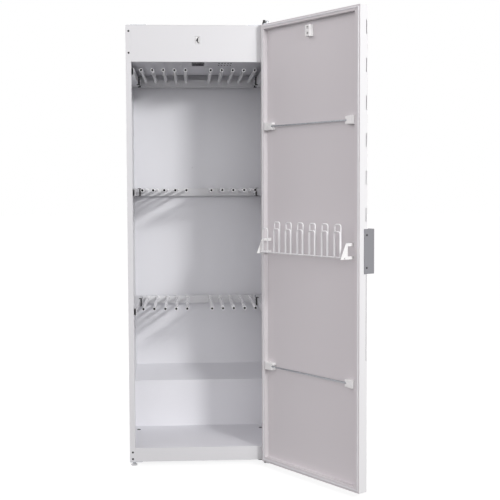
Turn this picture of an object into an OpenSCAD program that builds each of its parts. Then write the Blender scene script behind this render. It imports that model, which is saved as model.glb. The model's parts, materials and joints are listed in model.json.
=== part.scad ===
// Drying cabinet with three pull-out hanging sections, shown with its door open.
// Origin: on the floor, midway between the side walls, in the plane of the cabinet's front.
// X to the right, Y to the back, Z up. Millimetres.

/* [Cabinet] */
// Width over the side walls
body_w = 595; // [500:1:700]
// Height of the roof above the floor
body_top = 1840; // [1700:1:2000]
// Depth of the cabinet without the door
body_d = 570; // [540:1:640]
// Height of the cabinet's underside above the floor
foot_h = 20; // [18:1:30]
// Thickness of the casing's sheet steel
sheet = 1.2; // [0.8:0.1:1.6]
// Width of the flange on each side of the opening
stile_w = 22.5; // [20:0.5:28]
// Depth of the lip behind each flange
stile_lip = 14; // [8:1:14]
// Height of the panel above the opening
fascia_h = 150; // [130:1:170]
// Height of the panel below the opening, over the underside
plinth_h = 58; // [50:1:80]
// Distance from the inner back wall to the cabinet's rear
back_gap = 30; // [27:1:45]

/* [Compressor housing] */
// Depth of the housing in front of the cabinet's rear
hump_d = 165; // [155:1:175]
// Height of the housing's front wall above the cabinet's floor panel
hump_front_h = 212; // [200:1:230]
// Rise of the housing's sloping top
hump_rise = 54; // [40:1:70]
// Radius of the compressor
compressor_r = 56; // [50:1:60]
// Height of the compressor
compressor_h = 176; // [150:1:180]
// Place of the compressor to the right of the middle
compressor_x = 130; // [80:1:160]
// Radius of the refrigerant pipes
pipe_r = 4; // [3:0.5:5]
// Distance between the two refrigerant pipes
pipe_gap = 60; // [40:1:80]

/* [Hanging sections] */
// Depth of the top section's rods below the ceiling panel
section_drop = 29; // [27:1:60]
// Distance from one section's rods to the next section's
section_pitch = 500; // [480:1:505]
// Outer radius of a rod
rod_r = 6; // [5:0.5:7]
// Radius of the hole through a rod
rod_bore_r = 4; // [3:0.5:4.5]
// Distance from the front to the rods' open ends
rod_front_y = 44; // [40:1:60]
// Distance of the innermost rods from the middle
rod_x0 = 52.5; // [40:0.5:60]
// Distance between neighbouring rods
rod_pitch = 46.2; // [40:0.1:47]
// Number of rods on each side of the middle
rod_count = 5; // [3:1:5]
// Gap between the rear rail and the inner back wall
rail_gap = 20; // [17:1:45]
// Depth of the rear rail
rail_d = 15; // [10:1:18]
// Height of the rear rail above the rods' axes
rail_up = 8; // [7:0.5:10]
// Depth of the rear rail below the rods' axes
rail_down = 27; // [24:0.5:30]
// Length of the cheeks in front of the rear rail
cheek_l = 125; // [100:1:150]
// Height of the side tracks
track_h = 30; // [26:1:32]
// Depth of a track's middle below the rods' axes
track_drop = 9; // [8:0.5:10]
// Distance of a track's inner face from the middle of the cabinet
track_x = 266; // [264:0.5:270]
// Depth of a glide along its track
glide_l = 20; // [14:1:30]
// Running gap between a glide and its track
glide_gap = 0.5; // [0.3:0.1:1]

/* [Door] */
// Angle of the door from closed, as it stands
door_angle = 123.6; // [90:0.1:125]
// Thickness of the door
door_t = 40; // [38:1:44]
// Gap between the closed door and the cabinet
door_gap = 4; // [3.5:0.1:6]
// Gap above and below the door
door_end_gap = 1.5; // [1:0.1:4]
// Width of the flat border on the door's inner side, at the hinge
border_hinge_w = 18; // [18:1:22]
// Width of the flat border on the door's inner side, at the handle
border_free_w = 30; // [20:1:32]
// Width of the flat border on the door's inner side, above and below the recess
border_end_w = 21; // [20:1:26]
// Depth of the door's inner recess
recess_d = 19; // [16:1:22]
// Distance of the hinge pins from the door's edge
hinge_in = 13.5; // [12:0.5:15]
// Distance of the hinge pins in front of the cabinet
hinge_out = 26; // [26:0.5:30]
// Radius of the hinge pins
pin_r = 4; // [3.5:0.5:5]
// Running gap round the hinge pins
pin_gap = 0.05; // [0.02:0.01:0.1]
// Thickness of the hinge plates
hinge_plate_t = 3; // [2:0.5:4]
// Height of the upper rod on the door
door_rod_high_z = 1421; // [1380:1:1450]
// Height of the lower rod on the door
door_rod_low_z = 430; // [400:1:460]
// Radius of the rods on the door
door_rod_r = 3; // [2:0.5:4]
// Distance of the door's rods behind the face of the border
door_rod_in = 6; // [5:0.5:7]

/* [Glove rack] */
// Height of the rack's rail
rack_z = 908; // [880:1:940]
// Radius of the rack's rail
rail_r = 2.5; // [2.5:0.1:3]
// Radius of the loops' wire
wire_r = 1.9; // [1.5:0.1:2]
// Height of the tall loops above the rail
tall_loop_h = 124; // [105:1:140]
// Height of the short loops above the rail
short_loop_h = 97; // [80:1:103]
// Distance between the two legs of a loop
loop_w = 32; // [26:1:36]
// Distance between neighbouring loops
loop_pitch = 73; // [60:1:75]
// Distance of the first loop from the door's hinge edge
loop_first = 77.5; // [70:0.5:80]
// Number of loops
loop_count = 7; // [4:1:7]
// Distance of the left and right brackets from the door's edges
bracket_in = 41; // [36:0.5:41.5]

/* [Handle] */
// Height of the handle's middle above the floor
handle_z = 932; // [900:1:1000]
// Length of the handle
handle_l = 168; // [140:1:200]
// Reach of the handle in front of the door
handle_reach = 32; // [28:1:40]
// Width of the handle's inturned grip
grip_w = 26; // [20:1:32]
// Thickness of the handle
handle_t = 3.5; // [3:0.25:4]

/* [Controls] */
// Height of the control panel's middle above the floor
panel_z = 1568; // [1500:1:1600]
// Width of the control panel
panel_w = 220; // [200:1:240]
// Height of the control panel
panel_h = 54; // [50:1:60]
// How far the control panel stands out of the door
panel_t = 4; // [3:0.5:6]
// Radius of a push button
button_r = 7; // [6:0.5:8]
// Travel of a push button
button_travel = 2; // [1.5:0.1:2.5]
// Distance between neighbouring push buttons
button_pitch = 28; // [24:1:32]

/* [Air system] */
// Width of the grille in the ceiling
grille_w = 49; // [40:1:60]
// Length of the grille in the ceiling
grille_l = 112; // [90:1:120]
// Number of slots in the grille
grille_slots = 7; // [5:1:9]
// Outer radius of the fan wheel
fan_r = 82; // [75:1:85]
// Height of the fan wheel
fan_h = 46; // [40:1:50]
// Number of blades on the fan wheel
fan_blades = 18; // [12:1:24]
// Radius of the fan motor's shaft
shaft_r = 5; // [4:0.5:6]

/* [Hidden] */
$fn = 48;

white = "#e6e6e8";
pale_grey = "#c9c9cc";
mid_grey = "#88888b";
dark_grey = "#48484c";
near_black = "#1c1c1f";
steel = "#b4b6b9";
copper = "#b87447";
eps = 1;                                     // how far a cutting solid runs past what it cuts

// Cabinet
half_w = body_w / 2;
wall_x = half_w - sheet;                     // inner face of a side wall
open_x = half_w - stile_w;                   // edge of the front opening
floor_z = foot_h + plinth_h;                 // top of the floor panel
ceiling_z = body_top - fascia_h;             // underside of the ceiling panel
roof_z = body_top - sheet;                   // underside of the roof
rear_y = body_d - sheet;                     // inner face of the rear panel
back_y = body_d - back_gap;                  // face of the inner back wall
hump_y = body_d - hump_d;                    // front of the compressor housing
hump_front_z = floor_z + hump_front_h;
hump_back_z = hump_front_z + hump_rise;

wall_hole_drop = 425;                        // hole in the back wall, below the ceiling panel

// Plugged holes in the left flange and in the floor
stile_hole_in = 12.5;
stile_hole_r = 3.6;
stile_plug_r = 4.2;
stile_plug_out = 0.4;
stile_hole_z = [body_top - 25, body_top - 114, foot_h + 40, foot_h + 12];
floor_hole_x = 276;
floor_hole_y = hump_y - 68;
floor_hole_r = 7;

// Base frame
frame_t = 2;
sill_w = 40;
base_plate_y = hump_y - 5;
compressor_y = (hump_y + body_d) / 2;
compressor_z = foot_h + frame_t + 8;         // it stands on 8 mm high mounts
mount_reach = 45;                            // from the compressor's middle to its mounts
foot_x = 281;
foot_inset = half_w - foot_x;
foot_pad_r = 13;
foot_pad_h = 5;
foot_stem_r = 5;
foot_hole_r = foot_stem_r + 0.1;
foot_front_y = 25;
foot_rear_y = body_d - 30;
foot_nut_h = 5;
foot_nut_r = 9;
foot_stem_up = 36;                           // stem above the cabinet's underside
hinge_plate_z = foot_h - hinge_plate_t;      // underside of the bottom hinge plates
plate_in = 1;                                // from a side wall's outer face to a plate
plate_d = 32;
low_plate_w = 52;
low_plate_d = 38;

// Drain spigot on the rear panel
drain_x = 245;
drain_z = foot_h + 80;
drain_r = 9.5;
drain_out = 24;

// Mains inlet, a box on the rear panel
inlet_x = -261;
inlet_z = foot_h + 74;
inlet_w = 70;
inlet_h = 40;
inlet_out = 24;
inlet_floor = 6;
inlet_side = 21;
inlet_end = 8;

// Sections
section_z = [for (i = [-2:0]) ceiling_z - section_drop + i * section_pitch];
rail_y = back_y - rail_gap - rail_d;
cheek_t = 1.5;
glide_wall = 6;                              // plastic between a cheek and its track
track_air = glide_gap;
cheek_x = track_x - track_air - glide_wall;  // outer face of a cheek
rail_t = 1.5;
cheek_up = 6;
cheek_down = 25;
track_y0 = sheet + stile_lip + 1;
track_y1 = back_y - 8;
track_t = 1.2;
glide_hook = 7;
glide_hook_t = 2.6;
rear_glide_h = 12;

// Door
hinge_x = half_w - hinge_in;
hinge_y = -hinge_out;
door_sheet = 1;
gasket_air = 1.5;                            // between the gasket and the cabinet, door closed
door_in_y = -door_gap;                       // inner side of the closed door
door_out_y = door_in_y - door_t;             // outer side of the closed door
door_z0 = foot_h + door_end_gap;
door_z1 = body_top - door_end_gap;
recess_y = door_in_y - recess_d;             // face of the recessed panel
recess_x0 = -half_w + border_free_w;          // the recess from the handle side
recess_x1 = half_w - border_hinge_w;          // to the hinge side, on the closed door
recess_z0 = door_z0 + border_end_w;
recess_z1 = door_z1 - border_end_w;
bush_wall = 2;
bush_r = pin_r + pin_gap + bush_wall;
bush_l = 18;
bush_flange_r = bush_r + 2;
bush_flange_t = 1;
pin_in = bush_l;                             // pin inside the door
pin_head_r = 5.5;
pin_head_h = 12;

// Rods on the door
clip_l = 50;
clip_h = 32;
clip_fork = 9.5;                             // how deep a clip is forked
clip_in = 1.5;                               // gap between a clip and the recess's side wall
clip_seat = 16;                              // how far a rod's end goes into its clip
door_rod_y = door_in_y - door_rod_in;
door_rod_z = [door_rod_low_z, door_rod_high_z];

// Glove rack
bracket_t = 2;
bracket_x = half_w - bracket_in;
tall_y = door_in_y + 36;                     // the tall loops and the rail, closed door
short_y = tall_y + 2 * wire_r + 0.3;         // the short loops, closed door
loop_bend = 9;
bracket_arm = 11.5;
bracket_low = 6;                             // below the rail
bracket_high = 55;                           // above the rail

// Catch
latch_x = -2;
latch_z = ceiling_z + 89;
latch_w = 18;
latch_h = 30;
latch_wall = 2;
latch_depth = 24;
catch_travel = 3;
catch_out = 2.5;
catch_plate = 4;
catch_body_y = latch_depth - latch_wall - catch_plate - catch_travel - 0.3;
striker_x = latch_x + 4;
striker_w = 28;
striker_h = 45;

// Handle
handle_screw_z = [for (up = [-1, 1]) handle_z + up * (handle_l / 2 - 23)];
handle_screw_y = door_out_y + 6;

// Controls
panel_wall = 1.5;
button_out = button_travel + 0.5;            // how far a cap stands out
button_gap = 0.3;
button_flange = 1.8;
button_x = [for (i = [0:2]) -76 + i * button_pitch];

// Air system
fan_x = 0;
fan_y = back_y - 140;
fan_z = ceiling_z + sheet + 14;              // underside of the fan wheel
scroll_gap = 10;
scroll_t = 1.5;
scroll_r = fan_r + scroll_gap + scroll_t;
scroll_z0 = ceiling_z + sheet;
scroll_h = fan_h + 26;
duct_w = 200;
slot_y0 = back_y - 30;
slot_y1 = back_y - 8;
grille_y0 = 21;
coil_w = 420;
coil_d = 56;
tray_h = 8;
coil_z = ceiling_z + sheet + tray_h;
coil_h = 112;
condenser_y = fan_y - 170;
evaporator_y = condenser_y - 70;
control_box_y = evaporator_y - 14;           // rear of the control box
control_box_front = 26;
pipe_y = (back_y + body_d) / 2;              // pipes run between the two back walls

// ---------------------------------------------------------------- helpers

// A box from its lowest corner to its highest corner.
module block(a, b) {
    translate(a) cube([b[0] - a[0], b[1] - a[1], b[2] - a[2]]);
}

// The same piece on the right and on the left.
module both_sides() {
    children();
    mirror([1, 0, 0]) children();
}

// A solid rod from one point to another along Z.
module post(x, y, z0, z1, r) {
    translate([x, y, z0]) cylinder(h = z1 - z0, r = r);
}

// A rod along X.
module bar_x(x0, x1, y, z, r) {
    translate([x0, y, z]) rotate([0, 90, 0]) cylinder(h = x1 - x0, r = r);
}

// A rod along Y.
module bar_y(x, y0, y1, z, r) {
    translate([x, y0, z]) rotate([-90, 0, 0]) cylinder(h = y1 - y0, r = r);
}

// An outline in Y and Z, drawn out along X.
module profile_x(x0, x1, points) {
    translate([x0, 0, 0]) rotate([90, 0, 90]) linear_extrude(x1 - x0) polygon(points);
}

// Turns what is drawn with the door closed to where the open door stands.
module on_door() {
    translate([hinge_x, hinge_y, 0])
        rotate([0, 0, door_angle])
            translate([-hinge_x, -hinge_y, 0]) children();
}

// ---------------------------------------------------------------- casing

module side_panel() {
    block([wall_x, 0, foot_h], [half_w, rear_y, roof_z]);
    block([open_x, 0, foot_h], [wall_x, sheet, roof_z]);
    block([open_x, sheet, floor_z], [open_x + sheet, sheet + stile_lip, ceiling_z]);
}

// The door can be hung on the left too: its holes there are plugged.
module side_panel_left() {
    color(white) mirror([1, 0, 0]) difference() {
        side_panel();
        for (z = stile_hole_z)
            bar_y(half_w - stile_hole_in, -eps, sheet + eps, z, stile_hole_r);
    }
}

module side_panel_right() {
    color(white) side_panel();
}

module rear_panel() {
    louvre_w = 60;
    louvre_pitch = 74;
    color(white) difference() {
        block([-half_w, rear_y, foot_h], [half_w, body_d, roof_z]);
        for (side = [-1, 1])
            bar_y(side * 200, rear_y - eps, body_d + eps, body_top - 40, 3.5);
        for (col = [0:3], row = [0:4])
            translate([-114 + col * louvre_pitch, rear_y - eps, foot_h + 130 + row * 30])
                cube([louvre_w, sheet + 2 * eps, 5]);
        bar_y(inlet_x + inlet_w / 2, rear_y - eps, body_d + eps, inlet_z + inlet_h / 2, 8);
        bar_y(drain_x, rear_y - eps, body_d + eps, drain_z, drain_r + 0.2);
    }
}

module roof_panel() {
    color(white) block([-half_w, 0, roof_z], [half_w, body_d, body_top]);
}

module fascia() {
    color(white) difference() {
        union() {
            block([-open_x, 0, ceiling_z], [open_x, sheet, roof_z]);
            block([-open_x, sheet, roof_z - sheet], [open_x, 16, roof_z]);
        }
        block([latch_x - latch_w / 2, -eps, latch_z - latch_h / 2],
              [latch_x + latch_w / 2, sheet + eps, latch_z + latch_h / 2]);
    }
}

module ceiling_panel() {
    color(white) difference() {
        union() {
            block([-wall_x, sheet, ceiling_z], [wall_x, back_y, ceiling_z + sheet]);
            block([-42, 168, ceiling_z - 1.5], [44, 298, ceiling_z]);
        }
        block([-grille_w / 2, grille_y0, ceiling_z - eps],
              [grille_w / 2, grille_y0 + grille_l, ceiling_z + sheet + eps]);
        for (col = [0:4], row = [0:1])
            post(88 + col * 12.5, 48 + row * 72, ceiling_z - eps, ceiling_z + sheet + eps, 2.5);
        block([-duct_w / 2, slot_y0, ceiling_z - eps],
              [duct_w / 2, slot_y1, ceiling_z + sheet + eps]);
    }
}

module ceiling_grille() {
    frame_w = 3;
    pitch = (grille_w - frame_w) / grille_slots;
    color(near_black) difference() {
        union() {
            block([-grille_w / 2 - 2, grille_y0 - 2, ceiling_z - 1.5],
                  [grille_w / 2 + 2, grille_y0 + grille_l + 2, ceiling_z]);
            block([-grille_w / 2 + 0.2, grille_y0 + 0.2, ceiling_z],
                  [grille_w / 2 - 0.2, grille_y0 + grille_l - 0.2, ceiling_z + sheet]);
        }
        for (i = [0:grille_slots - 1])
            block([-grille_w / 2 + frame_w + i * pitch, grille_y0 + frame_w, ceiling_z - 2],
                  [-grille_w / 2 + (i + 1) * pitch, grille_y0 + grille_l - frame_w, ceiling_z + 2]);
    }
}

module inner_back_wall() {
    color(white) difference() {
        block([-wall_x, back_y, hump_back_z], [wall_x, back_y + sheet, ceiling_z + sheet]);
        bar_y(-25.7, back_y - eps, back_y + sheet + eps, ceiling_z - wall_hole_drop, 3);
    }
}

module compressor_cover() {
    color(white) profile_x(-wall_x, wall_x, [
        [hump_y, foot_h + frame_t], [hump_y + sheet, foot_h + frame_t],
        [hump_y + sheet, hump_front_z - sheet / 2], [back_y, hump_back_z - sheet * 1.1],
        [back_y + sheet, hump_back_z - sheet * 1.1], [back_y + sheet, hump_back_z],
        [back_y, hump_back_z], [hump_y, hump_front_z]
    ]);
}

module floor_panel() {
    color(white) difference() {
        union() {
            block([-wall_x, sheet, floor_z - sheet], [wall_x, hump_y, floor_z]);
            block([-open_x + 1, sheet, floor_z - 12], [open_x - 1, sheet * 2, floor_z - sheet]);
        }
        for (side = [-1, 1])
            post(side * floor_hole_x, floor_hole_y, floor_z - sheet - eps, floor_z + eps, floor_hole_r);
    }
}

module plinth() {
    color(white) union() {
        block([-open_x, 0, foot_h], [open_x, sheet, floor_z]);
        block([-open_x, sheet, foot_h], [open_x, 12, foot_h + sheet]);
    }
}

module base_frame() {
    sill_top = floor_z - sheet;
    front_y = 12;
    color(steel) difference() {
        union() {
            both_sides() {
                block([wall_x - sill_w, front_y, foot_h], [wall_x, rear_y, foot_h + frame_t]);
                block([wall_x - frame_t, front_y, foot_h], [wall_x, hump_y, sill_top]);
                block([wall_x - sill_w, front_y, sill_top - frame_t], [wall_x, hump_y, sill_top]);
            }
            block([-wall_x, base_plate_y, foot_h], [wall_x, rear_y, foot_h + frame_t]);
            block([-wall_x, front_y, foot_h], [wall_x, 60, foot_h + frame_t]);
        }
        both_sides() for (y = [foot_front_y, foot_rear_y])
            post(half_w - foot_inset, y, foot_h - eps, foot_h + frame_t + eps, foot_hole_r);
    }
}

module hole_plugs() {
    color(near_black) {
        mirror([1, 0, 0]) for (z = stile_hole_z) {
            bar_y(half_w - stile_hole_in, -stile_plug_out, 0, z, stile_plug_r);
            bar_y(half_w - stile_hole_in, 0, sheet, z, stile_hole_r - 0.1);
        }
        both_sides() {
            post(floor_hole_x, floor_hole_y, floor_z, floor_z + 1, floor_hole_r + 1);
            post(floor_hole_x, floor_hole_y, floor_z - sheet, floor_z, floor_hole_r - 0.1);
        }
    }
}

// A pad, a tapered neck, a lock nut tight under the plate above it, and a threaded stem.
module levelling_foot(y, under_z) {
    nut_z0 = under_z - foot_nut_h;
    translate([half_w - foot_inset, y, 0]) {
        cylinder(h = foot_pad_h, r = foot_pad_r);
        translate([0, 0, foot_pad_h])
            cylinder(h = nut_z0 - foot_pad_h, r1 = foot_pad_r, r2 = foot_stem_r);
        translate([0, 0, nut_z0]) cylinder(h = foot_nut_h, r = foot_nut_r, $fn = 6);
        translate([0, 0, nut_z0]) cylinder(h = foot_h + foot_stem_up - nut_z0, r = foot_stem_r);
    }
}

module levelling_feet() {
    color(dark_grey) both_sides() {
        levelling_foot(foot_front_y, hinge_plate_z);
        levelling_foot(foot_rear_y, foot_h);
    }
}

// ---------------------------------------------------------------- hinges

module hinge_plate_top() {
    color(steel) translate([0, 0, body_top]) union() {
        linear_extrude(hinge_plate_t) difference() {
            union() {
                translate([half_w - plate_in - 88, 3]) square([88, plate_d]);
                translate([hinge_x - 16, hinge_y - 10]) square([26, 14 - hinge_y]);
            }
            translate([hinge_x, hinge_y]) circle(r = pin_r);
        }
        translate([hinge_x + 8, hinge_y - 6, hinge_plate_t]) cube([2, 14, 12]);
    }
}

module hinge_plate_bottom() {
    color(dark_grey) translate([0, 0, hinge_plate_z]) linear_extrude(hinge_plate_t)
        difference() {
            union() {
                translate([half_w - plate_in - low_plate_w, 2]) square([low_plate_w, low_plate_d]);
                translate([hinge_x - 16, hinge_y - 10]) square([26, 14 - hinge_y]);
            }
            translate([half_w - foot_inset, foot_front_y]) circle(r = foot_hole_r);
            translate([hinge_x, hinge_y]) circle(r = pin_r);
        }
}

module blank_plates() {
    color(pale_grey) mirror([1, 0, 0]) {
        translate([half_w - 84, 3, body_top]) cube([64, plate_d, hinge_plate_t - 1]);
        translate([0, 0, hinge_plate_z]) linear_extrude(hinge_plate_t) difference() {
            translate([half_w - plate_in - low_plate_w, 2]) square([low_plate_w, low_plate_d]);
            translate([half_w - foot_inset, foot_front_y]) circle(r = foot_hole_r);
        }
    }
}

module hinge_pins() {
    color(steel) translate([hinge_x, hinge_y, 0]) {
        plate_top = body_top + hinge_plate_t;
        translate([0, 0, door_z1 - pin_in]) cylinder(h = plate_top - door_z1 + pin_in, r = pin_r);
        translate([0, 0, plate_top]) cylinder(h = pin_head_h, r = pin_head_r);
        translate([0, 0, hinge_plate_z]) cylinder(h = door_z0 + pin_in - hinge_plate_z, r = pin_r);
        translate([0, 0, hinge_plate_z - 6]) cylinder(h = 6, r = pin_head_r + 1);
    }
}

module cable_guide() {
    guide_x = hinge_x - 12;
    guide_w = 11;
    guide_z = body_top + hinge_plate_t;
    color(near_black) difference() {
        union() {
            block([guide_x - guide_w / 2, hinge_y - 2, guide_z], [guide_x + guide_w / 2, 14, guide_z + 9]);
            translate([guide_x, hinge_y - 2, guide_z]) cylinder(h = 14, r = guide_w / 2);
        }
        bar_y(guide_x, hinge_y + 6, 15, guide_z + 4.5, 2.5);
    }
}

// ---------------------------------------------------------------- catch on the cabinet

module latch_housing() {
    w = latch_w / 2;
    h = latch_h / 2;
    color(pale_grey) difference() {
        union() {
            block([latch_x - w - latch_wall, sheet, latch_z - h - latch_wall],
                  [latch_x + w + latch_wall, latch_depth, latch_z + h + latch_wall]);
            block([latch_x - w - 8, sheet, latch_z - 6], [latch_x + w + 8, sheet + 2, latch_z + 6]);
        }
        block([latch_x - w, sheet - eps, latch_z - h], [latch_x + w, latch_depth - latch_wall, latch_z + h]);
    }
}

module latch_catch() {
    strip = 2.2;
    color(dark_grey) {
        translate([latch_x, 0, latch_z]) {
            translate([0, catch_body_y, 0]) rotate([90, 0, 0])
                linear_extrude(catch_body_y + catch_out) polygon([
                    [4, 13], [4 + strip, 13 - strip], [-6 + strip * 1.6, -1], [4 + strip, -13 + strip],
                    [4, -13], [-6, -1]
                ]);
            translate([-latch_w / 2 + 0.5, catch_body_y, -latch_h / 2 + 0.5])
                cube([latch_w - 1, catch_plate, latch_h - 1]);
        }
    }
}

// ---------------------------------------------------------------- hanging sections

module track(z) {
    z0 = z - track_drop - track_h / 2;
    z1 = z0 + track_h;
    difference() {
        block([track_x, track_y0, z0], [wall_x, track_y1, z1]);
        block([track_x + track_t, track_y0 - eps, z0 + track_t],
              [wall_x + eps, track_y1 + eps, z1 - track_t]);
    }
}

module tracks_right() {
    color(white) for (z = section_z) track(z);
}

module tracks_left() {
    color(white) mirror([1, 0, 0]) for (z = section_z) track(z);
}

module carriage(z) {
    y0 = rail_y - cheek_l;
    color(white) {
        difference() {
            block([-cheek_x, rail_y, z - rail_down], [cheek_x, rail_y + rail_d, z + rail_up]);
            block([-cheek_x + rail_t, rail_y + rail_t, z - rail_down + rail_t],
                  [cheek_x - rail_t, rail_y + rail_d + eps, z + rail_up - rail_t]);
        }
        both_sides()
            block([cheek_x - cheek_t, y0, z - cheek_down], [cheek_x, rail_y, z + cheek_up]);
    }
}

module carriage_bottom() { carriage(section_z[0]); }
module carriage_middle() { carriage(section_z[1]); }
module carriage_top() { carriage(section_z[2]); }

// Open tubes that stand forward from the rear rail.
module rods(z) {
    color(white) for (side = [-1, 1], i = [0:rod_count - 1])
        translate([side * (rod_x0 + i * rod_pitch), rod_front_y, z]) rotate([-90, 0, 0])
            difference() {
                cylinder(h = rail_y - rod_front_y, r = rod_r);
                translate([0, 0, -eps]) cylinder(h = rail_y - rod_front_y - 20 + eps, r = rod_bore_r);
            }
}

module rods_bottom() { rods(section_z[0]); }
module rods_middle() { rods(section_z[1]); }
module rods_top() { rods(section_z[2]); }

// Shoes that hook over and under the tracks: a full one in front, a low one behind.
module glides(z) {
    track_mid = z - track_drop;
    hook_z = track_h / 2 + glide_gap;
    y0 = rail_y - cheek_l;
    color(near_black) both_sides() {
        block([cheek_x, y0, track_mid - hook_z - glide_hook_t],
              [track_x - track_air, y0 + glide_l, track_mid + hook_z + glide_hook_t]);
        for (z0 = [track_mid + hook_z, track_mid - hook_z - glide_hook_t])
            block([track_x - track_air, y0, z0],
                  [track_x + glide_hook, y0 + glide_l, z0 + glide_hook_t]);
        block([cheek_x, rail_y - glide_l, track_mid - hook_z - glide_hook_t],
              [track_x - track_air, rail_y, track_mid - hook_z + rear_glide_h]);
        block([track_x - track_air, rail_y - glide_l, track_mid - hook_z - glide_hook_t],
              [track_x + glide_hook, rail_y, track_mid - hook_z]);
    }
}

module glides_bottom() { glides(section_z[0]); }
module glides_middle() { glides(section_z[1]); }
module glides_top() { glides(section_z[2]); }

// ---------------------------------------------------------------- cold and warm air

module compressor() {
    low_bend = 14;
    top_bend = 18;
    function rounding(bend, z, a) = [compressor_r - bend + bend * cos(a), z + bend * sin(a)];
    color(near_black) translate([compressor_x, compressor_y, compressor_z]) union() {
        rotate_extrude() polygon(concat(
            [[0, 0]],
            [for (a = [-90:15:0]) rounding(low_bend, low_bend, a)],
            [for (a = [0:15:90]) rounding(top_bend, compressor_h - top_bend, a)],
            [[0, compressor_h]]
        ));
        difference() {
            translate([-58, -58, 0]) cube([116, 116, 3]);
            for (sx = [-1, 1], sy = [-1, 1])
                translate([sx * mount_reach, sy * mount_reach, -eps]) cylinder(h = 5, r = 6);
        }
    }
}

module compressor_mounts() {
    z0 = foot_h + frame_t;
    color(near_black) translate([compressor_x, compressor_y, 0])
        for (sx = [-1, 1], sy = [-1, 1]) translate([sx * mount_reach, sy * mount_reach, 0]) {
            translate([0, 0, z0]) cylinder(h = 8, r = 9);
            translate([0, 0, z0 + 8]) cylinder(h = 3, r = 5.9);
            translate([0, 0, z0 + 11]) cylinder(h = 3, r = 9);
        }
}

// Two copper pipes: up from the compressor, back to the duct, up behind the back wall and
// forward over the coils.
module refrigerant_pipes() {
    start_z = compressor_z + compressor_h;
    turn_z = start_z + 14;
    top_z = coil_z + coil_h + 12;
    color(copper) for (i = [0, 1]) {
        x = compressor_x - pipe_gap / 2 + i * pipe_gap;
        y_start = compressor_y;
        y_end = i == 0 ? evaporator_y + coil_d / 2 : condenser_y + coil_d / 2;
        union() {
            post(x, y_start, start_z, turn_z, pipe_r);
            translate([x, y_start, turn_z]) sphere(r = pipe_r);
            bar_y(x, y_start, pipe_y, turn_z, pipe_r);
            translate([x, pipe_y, turn_z]) sphere(r = pipe_r);
            post(x, pipe_y, turn_z, top_z, pipe_r);
            translate([x, pipe_y, top_z]) sphere(r = pipe_r);
            bar_y(x, y_end, pipe_y, top_z, pipe_r);
            translate([x, y_end, top_z]) sphere(r = pipe_r);
            post(x, y_end, coil_z + coil_h, top_z, pipe_r);
        }
    }
}

// A finned block between two end plates.
module coil(y) {
    color(steel) union() {
        block([-coil_w / 2, y, coil_z], [-coil_w / 2 + 2, y + coil_d, coil_z + coil_h]);
        block([coil_w / 2 - 2, y, coil_z], [coil_w / 2, y + coil_d, coil_z + coil_h]);
        block([-coil_w / 2 + 2, y + 4, coil_z], [coil_w / 2 - 2, y + coil_d - 4, coil_z + coil_h]);
    }
}

module evaporator() { coil(evaporator_y); }
module condenser() { coil(condenser_y); }

module condensate_tray() {
    y0 = evaporator_y - 8;
    y1 = condenser_y + coil_d + 6;
    color(dark_grey) difference() {
        block([-coil_w / 2 - 8, y0, ceiling_z + sheet], [coil_w / 2 + 8, y1, coil_z]);
        block([-coil_w / 2 - 6, y0 + 2, ceiling_z + sheet + 2], [-coil_w / 2 - 1, y1 - 2, coil_z + eps]);
        block([coil_w / 2 + 1, y0 + 2, ceiling_z + sheet + 2], [coil_w / 2 + 6, y1 - 2, coil_z + eps]);
    }
}

module blower_housing() {
    inner_r = scroll_r - scroll_t;
    z1 = scroll_z0 + scroll_h;
    color(pale_grey) difference() {
        union() {
            post(fan_x, fan_y, scroll_z0, z1, scroll_r);
            block([-duct_w / 2 - 2, fan_y + 40, scroll_z0], [duct_w / 2 + 2, slot_y1 + 2, z1]);
        }
        post(fan_x, fan_y, scroll_z0 + scroll_t, z1 - scroll_t, inner_r);
        post(fan_x, fan_y, z1 - scroll_t - eps, z1 + eps, fan_r - 20);
        block([-duct_w / 2, fan_y + 50, scroll_z0 + scroll_t], [duct_w / 2, slot_y1, z1 - scroll_t]);
        block([-duct_w / 2, slot_y0, scroll_z0 - eps], [duct_w / 2, slot_y1, scroll_z0 + scroll_t + eps]);
    }
}

module fan_wheel() {
    hub_r = 14;
    ring_w = 16;
    blade_t = 1.5;
    color(dark_grey) translate([fan_x, fan_y, fan_z]) difference() {
        union() {
            cylinder(h = 2, r = fan_r);
            cylinder(h = fan_h - 8, r = hub_r);
            translate([0, 0, fan_h - 2]) difference() {
                cylinder(h = 2, r = fan_r);
                translate([0, 0, -eps]) cylinder(h = 4, r = fan_r - ring_w);
            }
            for (i = [0:fan_blades - 1]) rotate([0, 0, i * 360 / fan_blades])
                translate([fan_r - ring_w - 4, -blade_t / 2, 1]) rotate([0, 0, 25])
                    cube([ring_w + 1, blade_t, fan_h - 2]);
        }
        translate([0, 0, -eps]) cylinder(h = fan_h + 2 * eps, r = shaft_r + pin_gap);
    }
}

// The motor hangs in the blower's inlet on a three-armed spider; its shaft carries the wheel.
module fan_motor() {
    inlet_z = scroll_z0 + scroll_h;
    motor_r = 34;
    motor_h = 30;
    color(dark_grey) translate([fan_x, fan_y, 0]) union() {
        translate([0, 0, inlet_z + 2]) cylinder(h = motor_h, r = motor_r);
        for (a = [90, 210, 330]) rotate([0, 0, a])
            translate([0, -5, inlet_z]) cube([fan_r - 8, 10, 4]);
        translate([0, 0, fan_z + 2]) cylinder(h = inlet_z + 2 - fan_z, r = shaft_r);
    }
}

module control_box() {
    color(pale_grey) {
        block([200, control_box_front, ceiling_z + sheet], [280, control_box_y, ceiling_z + sheet + 44]);
        translate([192, control_box_y - 86, ceiling_z + sheet]) cube([8, 50, 16]);
    }
}

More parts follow.
